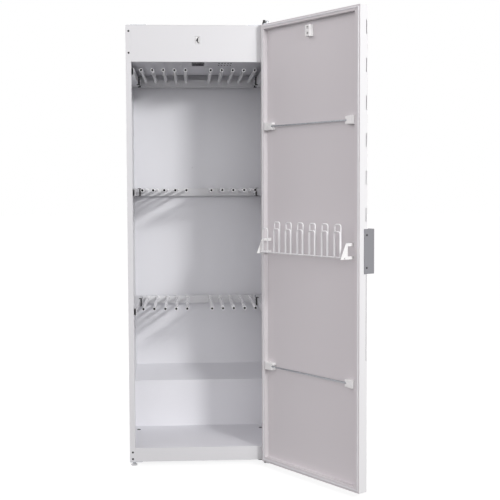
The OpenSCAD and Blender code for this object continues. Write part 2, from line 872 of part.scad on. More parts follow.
// A flange outside the rear panel, a stub through its hole and a spigot for a hose.
module drain_spigot() {
    y0 = rear_y - 14;
    flange_y = body_d + 2;
    color(dark_grey) difference() {
        union() {
            bar_y(drain_x, y0, body_d, drain_z, drain_r - 0.5);
            bar_y(drain_x, body_d, flange_y, drain_z, drain_r + 5);
            bar_y(drain_x, flange_y, body_d + drain_out, drain_z, drain_r);
        }
        bar_y(drain_x, y0 + 6, body_d + drain_out + eps, drain_z, drain_r - 2.5);
    }
}

// The lead's plug goes in from the back, over three blades.
module mains_inlet() {
    mid_x = inlet_x + inlet_w / 2;
    color(near_black) union() {
        difference() {
            block([inlet_x, body_d, inlet_z], [inlet_x + inlet_w, body_d + inlet_out, inlet_z + inlet_h]);
            block([inlet_x + inlet_side, body_d + inlet_floor, inlet_z + inlet_end],
                  [inlet_x + inlet_w - inlet_side, body_d + inlet_out + eps, inlet_z + inlet_h - inlet_end]);
        }
        for (i = [-1, 0, 1])
            block([mid_x - 1 + i * 8, body_d + inlet_floor - eps, inlet_z + (i == 0 ? 22 : 15)],
                  [mid_x + 1 + i * 8, body_d + inlet_out - 4, inlet_z + (i == 0 ? 26 : 19)]);
    }
}

module case_screws() {
    head_r = 4;
    head_h = 2;
    low_screw_z = foot_h + 30;
    high_screw_z = body_top - 14;
    color(steel) {
        for (side = [-1, 1], i = [0:5])
            bar_y(side * (half_w - 12), body_d, body_d + head_h,
                  low_screw_z + i * (high_screw_z - low_screw_z) / 5, head_r);
        for (x = [-150, 0, 150]) bar_y(x, body_d, body_d + head_h, foot_h + 14, head_r);
        for (x = [half_w - 78, half_w - 40])
            post(x, 19, body_top + hinge_plate_t, body_top + hinge_plate_t + head_h, head_r);
        post(-half_w + 76, 19, body_top + hinge_plate_t - 1, body_top + hinge_plate_t + 1, head_r);
        post(-68, 143, ceiling_z - 1.5, ceiling_z, 3);
    }
}

// ---------------------------------------------------------------- door

module door_skin() {
    slot_l = 52;
    slot_pitch = 138;
    color(white) on_door() difference() {
        block([-half_w, door_out_y, door_z0], [half_w, door_in_y - door_sheet, door_z1]);
        block([-half_w + door_sheet, door_out_y + door_sheet, door_z0 + door_sheet],
              [half_w - door_sheet, door_in_y, door_z1 - door_sheet]);
        for (i = [0:5])
            block([-half_w - eps, door_out_y + 6, body_top - 82 - i * slot_pitch - slot_l / 2],
                  [-half_w + door_sheet + eps, door_out_y + 9,
                   body_top - 82 - i * slot_pitch + slot_l / 2]);
        post(hinge_x, hinge_y, door_z0 - eps, door_z1 + eps, bush_r);
        block([-panel_w / 2 + 12, door_out_y - eps, panel_z - panel_h / 2 + 10],
              [panel_w / 2 - 12, door_out_y + door_sheet + eps, panel_z + panel_h / 2 - 10]);
    }
}

module door_liner() {
    color(white) on_door() difference() {
        union() {
            block([-half_w, door_in_y - door_sheet, door_z0], [half_w, door_in_y, door_z1]);
            block([recess_x0 - door_sheet, recess_y - door_sheet, recess_z0 - door_sheet],
                  [recess_x1 + door_sheet, door_in_y - door_sheet, recess_z1 + door_sheet]);
        }
        block([recess_x0, recess_y, recess_z0], [recess_x1, door_in_y + eps, recess_z1]);
    }
}

module door_gasket() {
    gasket_w = 6;
    edge = 6;
    gasket_t = door_gap - gasket_air;
    color(mid_grey) on_door() difference() {
        block([-half_w + edge, door_in_y, door_z0 + edge],
              [half_w - edge, door_in_y + gasket_t, door_z1 - edge]);
        block([-half_w + edge + gasket_w, door_in_y - eps, door_z0 + edge + gasket_w],
              [half_w - edge - gasket_w, door_in_y + gasket_t + eps, door_z1 - edge - gasket_w]);
    }
}

module door_bushes() {
    color(dark_grey) on_door() translate([hinge_x, hinge_y, 0]) {
        difference() {
            union() {
                translate([0, 0, door_z1 - bush_l]) cylinder(h = bush_l, r = bush_r);
                translate([0, 0, door_z1]) cylinder(h = bush_flange_t, r = bush_flange_r);
            }
            translate([0, 0, door_z1 - bush_l - eps])
                cylinder(h = bush_l + bush_flange_t + 2 * eps, r = pin_r + pin_gap);
        }
        difference() {
            union() {
                translate([0, 0, door_z0]) cylinder(h = bush_l, r = bush_r);
                translate([0, 0, door_z0 - bush_flange_t])
                    cylinder(h = bush_flange_t, r = bush_flange_r);
            }
            translate([0, 0, door_z0 - bush_flange_t - eps])
                cylinder(h = bush_l + bush_flange_t + 2 * eps, r = pin_r + pin_gap);
        }
    }
}

module door_rods() {
    color(white) on_door() for (z = door_rod_z)
        bar_x(recess_x0 + clip_in + clip_l - clip_seat, recess_x1 - clip_in - clip_l + clip_seat,
              door_rod_y, z, door_rod_r);
}

// A clip drawn from its outer end inwards along X, forked round the rod at its inner end.
module rod_clip(z) {
    h = clip_h / 2;
    difference() {
        translate([0, door_in_y, z]) rotate([90, 0, 0]) linear_extrude(recess_d) polygon([
            [0, -h], [clip_l, 1.5 - h], [clip_l, -h / 2], [clip_l - clip_fork, 0],
            [clip_l, h / 2], [clip_l, h - 1.5], [0, h]
        ]);
        bar_x(clip_l - clip_seat, clip_l + eps, door_rod_y, z, door_rod_r + 0.1);
    }
}

module rod_clips() {
    color(white) on_door() for (z = door_rod_z) {
        translate([recess_x0 + clip_in, 0, 0]) rod_clip(z);
        translate([recess_x1 - clip_in, 0, 0]) mirror([1, 0, 0]) rod_clip(z);
    }
}

// One loop: two legs with a rounded top.
module glove_loop(x, y, h) {
    half = loop_w / 2;
    top = rack_z + h;
    for (side = [-1, 1]) {
        post(x + side * half, y, rack_z, top - loop_bend, wire_r);
        translate([x + side * (half - loop_bend), y, top - loop_bend]) rotate([90, 0, 0])
            rotate([0, 0, side > 0 ? 0 : 90]) rotate_extrude(angle = 90)
                translate([loop_bend, 0]) circle(r = wire_r);
    }
    bar_x(x - half + loop_bend, x + half - loop_bend, y, top, wire_r);
}

// A rail, and on it the short loops. Behind each, but not behind the first, is a tall one.
module glove_rack() {
    x0 = bracket_x + 3;
    color(white) on_door() union() {
        bar_x(-x0, x0, tall_y, rack_z, rail_r);
        for (i = [0:loop_count - 1]) {
            x = half_w - loop_first - i * loop_pitch;
            glove_loop(x, short_y, short_loop_h);
            if (i > 0) glove_loop(x, tall_y, tall_loop_h);
        }
    }
}

// C-shaped plates square to the door, wider below. The rail goes through them.
module glove_brackets() {
    z0 = rack_z - bracket_low;
    z1 = rack_z + bracket_high;
    web_y = door_in_y + 20.5;
    color(white) on_door() both_sides() difference() {
        profile_x(bracket_x - bracket_t, bracket_x, [
            [recess_y, z0], [tall_y + 21, z0], [tall_y - 7, z1], [recess_y, z1],
            [recess_y, z1 - bracket_arm], [web_y, z1 - bracket_arm],
            [web_y, z0 + bracket_arm], [recess_y, z0 + bracket_arm]
        ]);
        bar_x(bracket_x - bracket_t - eps, bracket_x + eps, tall_y, rack_z, rail_r + 0.1);
    }
}

module striker() {
    color(white) on_door() difference() {
        block([striker_x - striker_w / 2, recess_y, latch_z - striker_h / 2],
              [striker_x + striker_w / 2, door_in_y, latch_z + striker_h / 2]);
        for (up = [-1, 1])
            block([striker_x - 5, door_in_y - 12, latch_z + up * 11 - 5],
                  [striker_x + 5, door_in_y + eps, latch_z + up * 11 + 5]);
    }
}

module handle() {
    edge_x = -half_w;
    y_in = door_in_y - 22;
    y_out = door_out_y - handle_reach;
    z0 = handle_z - handle_l / 2;
    z1 = handle_z + handle_l / 2;
    color(mid_grey) on_door() difference() {
        union() {
            block([edge_x - handle_t, y_out, z0], [edge_x, y_in, z1]);
            block([edge_x, y_out, z0], [edge_x + grip_w, y_out + handle_t, z1]);
            bar_z_half(edge_x + grip_w, y_out + handle_t, z0, z1);
        }
        for (z = handle_screw_z)
            bar_x(edge_x - handle_t - eps, edge_x + eps, handle_screw_y, z, 2.2);
    }
}

// Rounded rim of the grip.
module bar_z_half(x, y, z0, z1) {
    translate([x, y - handle_t / 2, z0]) cylinder(h = z1 - z0, r = handle_t / 2);
}

module handle_screws() {
    edge_x = -half_w - handle_t;
    color(steel) on_door() for (z = handle_screw_z) {
        bar_x(edge_x - 2, edge_x, handle_screw_y, z, 3.8);
        bar_x(edge_x, edge_x + handle_t, handle_screw_y, z, 2.1);
    }
}

module control_panel() {
    z0 = panel_z - panel_h / 2;
    z1 = panel_z + panel_h / 2;
    face_y = door_out_y - panel_t;
    color(dark_grey) on_door() difference() {
        block([-panel_w / 2, face_y, z0], [panel_w / 2, door_out_y, z1]);
        block([-panel_w / 2 + 10, face_y + panel_wall, z0 + 8],
              [panel_w / 2 - 10, door_out_y + eps, z1 - 8]);
        for (x = button_x)
            bar_y(x, face_y - eps, face_y + panel_wall + eps, panel_z, button_r + button_gap);
    }
}

// A cap that shows in front and a flange that keeps it behind the panel.
module button(i) {
    face_y = door_out_y - panel_t;
    on_door() {
        bar_y(button_x[i], face_y - button_out, face_y + panel_wall, panel_z, button_r);
        bar_y(button_x[i], face_y + panel_wall, face_y + panel_wall + 1, panel_z,
              button_r + button_flange);
    }
}

module button_power() { color(pale_grey) button(0); }
module button_program() { color(pale_grey) button(1); }
module button_start() { color(pale_grey) button(2); }

side_panel_left();
side_panel_right();
rear_panel();
roof_panel();
fascia();
ceiling_panel();
ceiling_grille();
inner_back_wall();
compressor_cover();
floor_panel();
plinth();
base_frame();
hole_plugs();
levelling_feet();
hinge_plate_top();
hinge_plate_bottom();
blank_plates();
hinge_pins();
cable_guide();
latch_housing();
tracks_left();
tracks_right();
compressor();
compressor_mounts();
refrigerant_pipes();
evaporator();
condenser();
blower_housing();
fan_motor();
control_box();
condensate_tray();
drain_spigot();
mains_inlet();
case_screws();
fan_wheel();
latch_catch();
carriage_top();
carriage_middle();
carriage_bottom();
rods_top();
rods_middle();
rods_bottom();
glides_top();
glides_middle();
glides_bottom();
door_skin();
door_liner();
door_gasket();
door_bushes();
door_rods();
rod_clips();
glove_rack();
glove_brackets();
striker();
handle();
handle_screws();
control_panel();
button_power();
button_program();
button_start();
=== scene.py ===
"""A drying cabinet with its door open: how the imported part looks.

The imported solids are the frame. Sheet-metal and moulded nodes are shown with their bends and rounded
edges, and the small hardware is built here in its real form. All sizes in this file are millimetres
in the frame of the part, and they turn to metres where a mesh or a lamp is made.
"""

import json
import logging
import math
from collections.abc import Callable, Iterable, Sequence
from dataclasses import dataclass, field
from enum import Enum

import bmesh
import bpy
from mathutils import Matrix, Vector

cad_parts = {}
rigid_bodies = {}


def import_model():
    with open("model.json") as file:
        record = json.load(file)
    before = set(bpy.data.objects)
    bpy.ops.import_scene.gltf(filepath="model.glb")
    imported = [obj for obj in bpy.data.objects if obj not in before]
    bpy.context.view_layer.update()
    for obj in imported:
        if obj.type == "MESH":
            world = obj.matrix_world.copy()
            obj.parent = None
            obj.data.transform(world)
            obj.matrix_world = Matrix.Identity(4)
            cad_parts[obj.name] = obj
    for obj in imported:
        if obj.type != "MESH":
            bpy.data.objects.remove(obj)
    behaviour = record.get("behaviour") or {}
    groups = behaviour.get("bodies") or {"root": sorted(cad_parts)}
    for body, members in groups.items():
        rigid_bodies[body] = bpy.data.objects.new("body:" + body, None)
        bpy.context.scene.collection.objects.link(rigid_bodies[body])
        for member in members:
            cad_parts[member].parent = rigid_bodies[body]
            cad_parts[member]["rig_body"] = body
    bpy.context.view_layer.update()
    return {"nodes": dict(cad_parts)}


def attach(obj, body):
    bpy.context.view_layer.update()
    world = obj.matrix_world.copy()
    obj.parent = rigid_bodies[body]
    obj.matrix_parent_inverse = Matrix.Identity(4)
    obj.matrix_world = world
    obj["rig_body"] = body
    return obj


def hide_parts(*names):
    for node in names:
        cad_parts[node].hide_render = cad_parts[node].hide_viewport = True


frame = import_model()
LOG = logging.getLogger("drying_cabinet")

METRE = 0.001  # one millimetre in metres
ON_AXIS = 1e-6  # a radius below this is a point on the axis

# The cabinet's own sizes, as the part has them.
HALF_WIDTH = 297.5
DEPTH = 570.0
CEILING = 1690.0
FLOOR = 78.0
HINGE = (284.0, -26.0)  # X and Y of the pins
DOOR_ANGLE = 123.6  # degrees from closed
DOOR_IN = -4.0  # inner side of the closed door
DOOR_OUT = -44.0  # outer side of the closed door
DOOR_LOW = 21.5
DOOR_HIGH = 1838.5
HANDLE_IN = 6.0  # from the door's outer side to the handle's screws and the seam
SECTION_HEIGHTS = {"bottom": 661.0, "middle": 1161.0, "top": 1661.0}
RODS_A_SIDE = 5
ROD_FIRST = 52.5  # from the middle of the cabinet to the nearest rods
ROD_PITCH = 46.2
ROD_PLACES = [side * (ROD_FIRST + ROD_PITCH * i) for side in (-1, 1) for i in range(RODS_A_SIDE)]

Point = Sequence[float]


class Side(Enum):
    """Left or right, as seen from the front of the cabinet."""

    LEFT = -1
    RIGHT = 1


# ---------------------------------------------------------------- small helpers


def linear(hex_colour: str) -> tuple[float, float, float, float]:
    """Turns a written colour to the linear values that a shader takes.

    Args:
        hex_colour: An sRGB colour such as "#ededee".

    Returns:
        Linear red, green and blue, and an alpha of 1.
    """
    parts = [int(hex_colour[i : i + 2], 16) / 255 for i in (1, 3, 5)]
    r, g, b = (c / 12.92 if c <= 0.04045 else ((c + 0.055) / 1.055) ** 2.4 for c in parts)
    return (r, g, b, 1.0)


def per_metre(size_mm: float) -> float:
    """The texture scale at which one feature of a pattern is size_mm wide."""
    return 1.0 / (size_mm * METRE)


def add_node(
    tree: bpy.types.NodeTree, kind: str, inputs: dict[str | int, object] | None = None, **settings: object
) -> bpy.types.Node:
    """Adds a node with its settings and links.

    Args:
        tree: The node tree.
        kind: The node's type name.
        inputs: What goes into each input: another node's output, or a value.
        settings: The node's own properties.

    Returns:
        The new node.
    """
    node = tree.nodes.new(kind)
    for name, value in settings.items():
        setattr(node, name, value)
    for name, value in (inputs or {}).items():
        if isinstance(value, bpy.types.NodeSocket):
            tree.links.new(value, node.inputs[name])
        else:
            node.inputs[name].default_value = value
    return node


def aim(origin: Point, direction: Point, turn: float = 0.0) -> Matrix:
    """A placement that puts +Z along a direction.

    Args:
        origin: Where the local origin goes.
        direction: Where the local +Z points.
        turn: Degrees of turn about that direction.

    Returns:
        The placement.
    """
    spin = Matrix.Rotation(math.radians(turn), 4, "Z")
    facing = Vector(direction).to_track_quat("Z", "Y").to_matrix().to_4x4()
    return Matrix.Translation(Vector(origin)) @ facing @ spin


def door_open() -> Matrix:
    """Where the open door stands, for what is built on the closed door."""
    pin = Matrix.Translation((HINGE[0], HINGE[1], 0))
    return pin @ Matrix.Rotation(math.radians(DOOR_ANGLE), 4, "Z") @ pin.inverted()


# ---------------------------------------------------------------- finishes


@dataclass(frozen=True)
class Finish:
    """What every finish has: a colour, a gloss and a slow change of both over the surface."""

    name: str
    colour: str
    roughness: float = 0.5
    metallic: float = 0.0
    tone: float = 0.03  # share by which the colour varies
    tone_mm: float = 260.0  # width of a patch of that
    grain_mm: float = 2.0  # width of one feature of the surface
    grain_deep: float = 0.02  # mm from its top to its bottom

    def material(self) -> bpy.types.Material:
        """The finish as a material.

        Returns:
            The material, made once.
        """
        found = bpy.data.materials.get(self.name)
        if found:
            return found
        material = bpy.data.materials.new(self.name)
        material.use_nodes = True
        tree = material.node_tree
        shader = tree.nodes["Principled BSDF"]
        shader.inputs["Metallic"].default_value = self.metallic
        shader.inputs["Roughness"].default_value = self.roughness
        where = add_node(tree, "ShaderNodeTexCoord").outputs["Object"]
        self.surface(tree, shader, where)
        return material

    def surface(self, tree: bpy.types.NodeTree, shader: bpy.types.Node, where: bpy.types.NodeSocket) -> None:
        """Links the finish's patterns to its shader.

        Args:
            tree: The material's nodes.
            shader: Its shader.
            where: The place on the surface, in metres.
        """
        self.vary(tree, shader, where)
        grain = add_node(
            tree, "ShaderNodeTexNoise", {"Vector": where, "Scale": per_metre(self.grain_mm), "Detail": 2.0}
        )
        self.emboss(tree, shader, grain.outputs["Fac"], self.grain_deep)

    def vary(self, tree: bpy.types.NodeTree, shader: bpy.types.Node, where: bpy.types.NodeSocket) -> None:
        """Varies the colour and the gloss slowly over the surface.

        Args:
            tree: The material's nodes.
            shader: Its shader.
            where: The place on the surface, in metres.
        """
        patch = add_node(
            tree, "ShaderNodeTexNoise", {"Vector": where, "Scale": per_metre(self.tone_mm), "Detail": 4.0}
        )
        light = linear(self.colour)
        dark = tuple(c * (1 - self.tone) for c in light[:3]) + (1.0,)
        mix = add_node(
            tree, "ShaderNodeMix", {0: patch.outputs["Fac"], 6: dark, 7: light}, data_type="RGBA"
        )
        tree.links.new(mix.outputs[2], shader.inputs["Base Color"])
        gloss = add_node(
            tree,
            "ShaderNodeMapRange",
            {
                "Value": patch.outputs["Fac"],
                "From Min": 0.3,
                "From Max": 0.7,
                "To Min": max(self.roughness - 0.04, 0.02),
                "To Max": self.roughness + 0.05,
            },
        )
        tree.links.new(gloss.outputs[0], shader.inputs["Roughness"])

    @staticmethod
    def emboss(
        tree: bpy.types.NodeTree,
        shader: bpy.types.Node,
        height: bpy.types.NodeSocket,
        deep_mm: float,
        under: bpy.types.NodeSocket | None = None,
    ) -> bpy.types.NodeSocket:
        """Gives the surface a relief.

        Args:
            tree: The material's nodes.
            shader: Its shader.
            height: The relief, 0 to 1.
            deep_mm: How many millimetres 0 to 1 are.
            under: The normal of a relief below this one.

        Returns:
            The new normal, already linked to the shader.
        """
        bump = add_node(
            tree, "ShaderNodeBump", {"Height": height, "Distance": deep_mm * METRE, "Strength": 1.0}
        )
        if under:
            tree.links.new(under, bump.inputs["Normal"])
        tree.links.new(bump.outputs[0], shader.inputs["Normal"])
        return bump.outputs[0]


@dataclass(frozen=True)
class PowderCoat(Finish):
    """Polyester powder coat, sprayed and baked on sheet steel.

    The powder flows as it bakes and leaves an orange peel of 1 to 2 mm, which softens every reflection,
    and the rolled sheet under it is never quite flat.
    """

    sheet_mm: float = 140.0  # distance between the sheet's slow waves
    sheet_deep: float = 0.12

    def surface(self, tree: bpy.types.NodeTree, shader: bpy.types.Node, where: bpy.types.NodeSocket) -> None:
        """Links the sheet's waves and the orange peel on them to the shader.

        Args:
            tree: The material's nodes.
            shader: Its shader.
            where: The place on the surface, in metres.
        """
        self.vary(tree, shader, where)
        shader.inputs["IOR"].default_value = 1.5
        waves = add_node(
            tree, "ShaderNodeTexNoise", {"Vector": where, "Scale": per_metre(self.sheet_mm), "Detail": 1.0}
        )
        peel = add_node(
            tree, "ShaderNodeTexNoise", {"Vector": where, "Scale": per_metre(self.grain_mm), "Detail": 1.0}
        )
        slow = self.emboss(tree, shader, waves.outputs["Fac"], self.sheet_deep)
        self.emboss(tree, shader, peel.outputs["Fac"], self.grain_deep, slow)


@dataclass(frozen=True)
class ZincPlate(Finish):
    """Steel with a bright zinc plate: small crystals that each reflect a little differently."""

    metallic: float = 1.0
    crystal_mm: float = 7.0  # width of a crystal
    crystal_dark: float = 0.82  # colour of the darkest crystals, as a share

    def surface(self, tree: bpy.types.NodeTree, shader: bpy.types.Node, where: bpy.types.NodeSocket) -> None:
        """Links the crystals' tone and gloss to the shader.

        Args:
            tree: The material's nodes.
            shader: Its shader.
            where: The place on the surface, in metres.
        """
        crystal = add_node(
            tree, "ShaderNodeTexVoronoi", {"Vector": where, "Scale": per_metre(self.crystal_mm)}
        )
        shade = add_node(tree, "ShaderNodeSeparateColor", {"Color": crystal.outputs["Color"]})
        light = linear(self.colour)
        dark = tuple(c * self.crystal_dark for c in light[:3]) + (1.0,)
        mix = add_node(tree, "ShaderNodeMix", {0: shade.outputs[0], 6: dark, 7: light}, data_type="RGBA")
        tree.links.new(mix.outputs[2], shader.inputs["Base Color"])
        gloss = add_node(
            tree,
            "ShaderNodeMapRange",
            {"Value": shade.outputs[1], "To Min": self.roughness - 0.06, "To Max": self.roughness + 0.08},
        )
        tree.links.new(gloss.outputs[0], shader.inputs["Roughness"])
        scuff = add_node(
            tree, "ShaderNodeTexNoise", {"Vector": where, "Scale": per_metre(self.grain_mm), "Detail": 3.0}
        )
        self.emboss(tree, shader, scuff.outputs["Fac"], self.grain_deep)


@dataclass(frozen=True)
class BrushedMetal(Finish):
    """Metal brushed along its length, and anodised or left bare.

    The brush leaves fine lines that spread a highlight across them. The real lines are 0.1 mm apart,
    and these are drawn 1 mm apart, so that they show.
    """

    metallic: float = 1.0
    along: Point = (1.0, 1.0, 0.03)  # how much the lines are drawn out along X, Y and Z

    def surface(self, tree: bpy.types.NodeTree, shader: bpy.types.Node, where: bpy.types.NodeSocket) -> None:
        """Links the brush lines to the shader.

        Args:
            tree: The material's nodes.
            shader: Its shader.
            where: The place on the surface, in metres.
        """
        self.vary(tree, shader, where)
        drawn = add_node(tree, "ShaderNodeMapping", {"Vector": where, "Scale": tuple(self.along)})
        lines = add_node(
            tree,
            "ShaderNodeTexNoise",
            {"Vector": drawn.outputs[0], "Scale": per_metre(self.grain_mm), "Detail": 4.0},
        )
        self.emboss(tree, shader, lines.outputs["Fac"], self.grain_deep)


@dataclass(frozen=True)
class Lens(Finish):
    """Clear or smoked acrylic, polished in the mould, over whatever lies behind it."""

    glow: float = 0.0

    def surface(self, tree: bpy.types.NodeTree, shader: bpy.types.Node, where: bpy.types.NodeSocket) -> None:
        """Links a faint flow pattern from moulding, and the light behind an indicator.

        Args:
            tree: The material's nodes.
            shader: Its shader.
            where: The place on the surface, in metres.
        """
        self.vary(tree, shader, where)
        shader.inputs["IOR"].default_value = 1.49
        shader.inputs["Coat Weight"].default_value = 0.6
        shader.inputs["Coat Roughness"].default_value = 0.04
        if self.glow:
            shader.inputs["Emission Color"].default_value = linear(self.colour)
            shader.inputs["Emission Strength"].default_value = self.glow


# White powder coat. The orange peel is drawn at 5 mm, where the real one is 1.5 mm, so that it shows.
CASE_WHITE = PowderCoat("white_powder_coat", "#e3e3e5", 0.36, tone=0.02, grain_mm=5.0, grain_deep=0.035)
# The same powder on the liner and the inside, which is handled more and shines a little less. It is drawn
# paler and bluer than the outside: painted light, for the brighter, bluish shade inside the cabinet.
LINER_WHITE = PowderCoat(
    "white_powder_coat_inside", "#ededf1", 0.42, tone=0.03, grain_mm=5.0, grain_deep=0.035
)
# The door's skin: a fresher white than the cabinet's outside.
DOOR_WHITE = PowderCoat(
    "white_powder_coat_door", "#efeff0", 0.36, tone=0.02, grain_mm=5.0, grain_deep=0.035
)
# The door's liner: a warmer white than the fittings on it, and darker, which is painted shade for the panel
# that the key light only grazes.
DOOR_LINER = PowderCoat(
    "warm_liner_painted_shade", "#dcd8da", 0.46, tone=0.03, tone_mm=260.0, grain_mm=5.0, grain_deep=0.03
)
# Thicker powder coat on wire and tube: it rounds over, so it is glossier.
WIRE_WHITE = PowderCoat("white_coated_wire", "#f6f6f7", 0.26, tone=0.02, grain_mm=3.0, grain_deep=0.02)
# Zinc plate on the base frame, the plates, the door's rods and the screws.
ZINC = ZincPlate("zinc_plated_steel", "#b9bcc1", 0.34, tone=0.1, grain_mm=1.5, grain_deep=0.01)
# Enamelled steel of the lower hinge plate, the catch and the rivets: nearly black, with a soft shine. It
# also paints the shade in the catch's cavity, between the arms of its strip.
DARK_STEEL = PowderCoat("black_enamel_and_cavity_shade", "#2a2a2d", 0.4, tone=0.2, tone_mm=40.0, grain_mm=3.0)
# Painted shade: a near-black finish inside the tubes and over the ceiling's slots, where light doesn't
# reach.
HOLE_SHADE = Finish("painted_hole_shade", "#060607", 0.9, tone=0.3, tone_mm=10.0)
# Grey anodised aluminium, brushed along the handle: an even grey with a broad, soft highlight.
ANODISED = BrushedMetal(
    "grey_anodised_aluminium", "#8f8f93", 0.5, tone=0.06, grain_mm=1.0, grain_deep=0.012
)
# Acetal and ABS moulded black, with a spark-eroded grain: matt, with grey highlights.
BLACK_ABS = Finish(
    "black_moulded_abs", "#161618", 0.52, tone=0.2, tone_mm=30.0, grain_mm=2.0, grain_deep=0.05
)
# Dark grey ABS of the grille: paler than the unlit slots between its bars.
GRILLE_ABS = Finish(
    "dark_grey_grille_abs", "#6e6e72", 0.5, tone=0.1, tone_mm=30.0, grain_mm=2.0, grain_deep=0.04
)
# White ABS: smoother and a touch warmer than the paint beside it.
WHITE_ABS = Finish(
    "white_moulded_abs", "#f7f7f6", 0.28, tone=0.02, tone_mm=40.0, grain_mm=2.0, grain_deep=0.02
)
# Mid grey polypropylene of the parts that handle air and water: waxy and matt.
GREY_PP = Finish(
    "grey_polypropylene", "#7c7d80", 0.55, tone=0.08, tone_mm=60.0, grain_mm=2.5, grain_deep=0.05
)
# Pale grey polypropylene of the feet: matt and scuffed.
FOOT_PP = Finish(
    "pale_grey_polypropylene", "#d9d9db", 0.5, tone=0.12, tone_mm=18.0, grain_mm=1.5, grain_deep=0.04
)
# Dark grey ABS of the control panel, moulded with a satin face.
PANEL_ABS = Finish(
    "dark_grey_panel_abs", "#3a3b3f", 0.38, tone=0.06, tone_mm=50.0, grain_mm=1.5, grain_deep=0.02
)
# Light grey ABS of the push buttons, moulded and polished by use.
BUTTON_ABS = Finish(
    "light_grey_button_abs", "#c3c4c7", 0.36, tone=0.04, tone_mm=12.0, grain_mm=1.0, grain_deep=0.015
)
# Soft white PVC of the door seal, extruded: matt, and a little grey where it gathers dust.
SEAL_PVC = Finish(
    "pale_pvc_seal", "#e6e6e8", 0.68, tone=0.12, tone_mm=45.0, grain_mm=2.0, grain_deep=0.04
)
# Moulded rubber under the compressor: matt, in an uneven black.
BLACK_RUBBER = Finish(
    "black_rubber", "#1d1d1e", 0.75, tone=0.25, tone_mm=15.0, grain_mm=1.2, grain_deep=0.05
)
# Copper pipe, drawn: bright where it was handled and darker between.
COPPER = BrushedMetal(
    "drawn_copper", "#c07a52", 0.3, tone=0.35, tone_mm=35.0, grain_mm=1.0, grain_deep=0.01
)
# Bare aluminium fins, rolled thin and about 2 mm apart: fine lines that break up the highlight.
FINS = BrushedMetal(
    "bare_aluminium_fins", "#c9ccd0", 0.38, grain_mm=2.0, grain_deep=0.3, along=(1.0, 0.02, 0.02)
)
# Smoked acrylic over the display, moulded and polished: dark, with a clear reflection.
SMOKED = Lens("smoked_acrylic", "#121317", 0.08, tone=0.1)
# An indicator behind clear acrylic, lit: a pale green that glows a little.
LIT = Lens("lit_indicator", "#8fd0a0", 0.2, tone=0.05, glow=0.6)
# The darkness in the seam of the door's edge, painted so that light from the side doesn't fill it.
SEAM = Finish("painted_seam_shade", "#3c3c40", 0.8, tone=0.1, tone_mm=20.0)


# ---------------------------------------------------------------- meshes


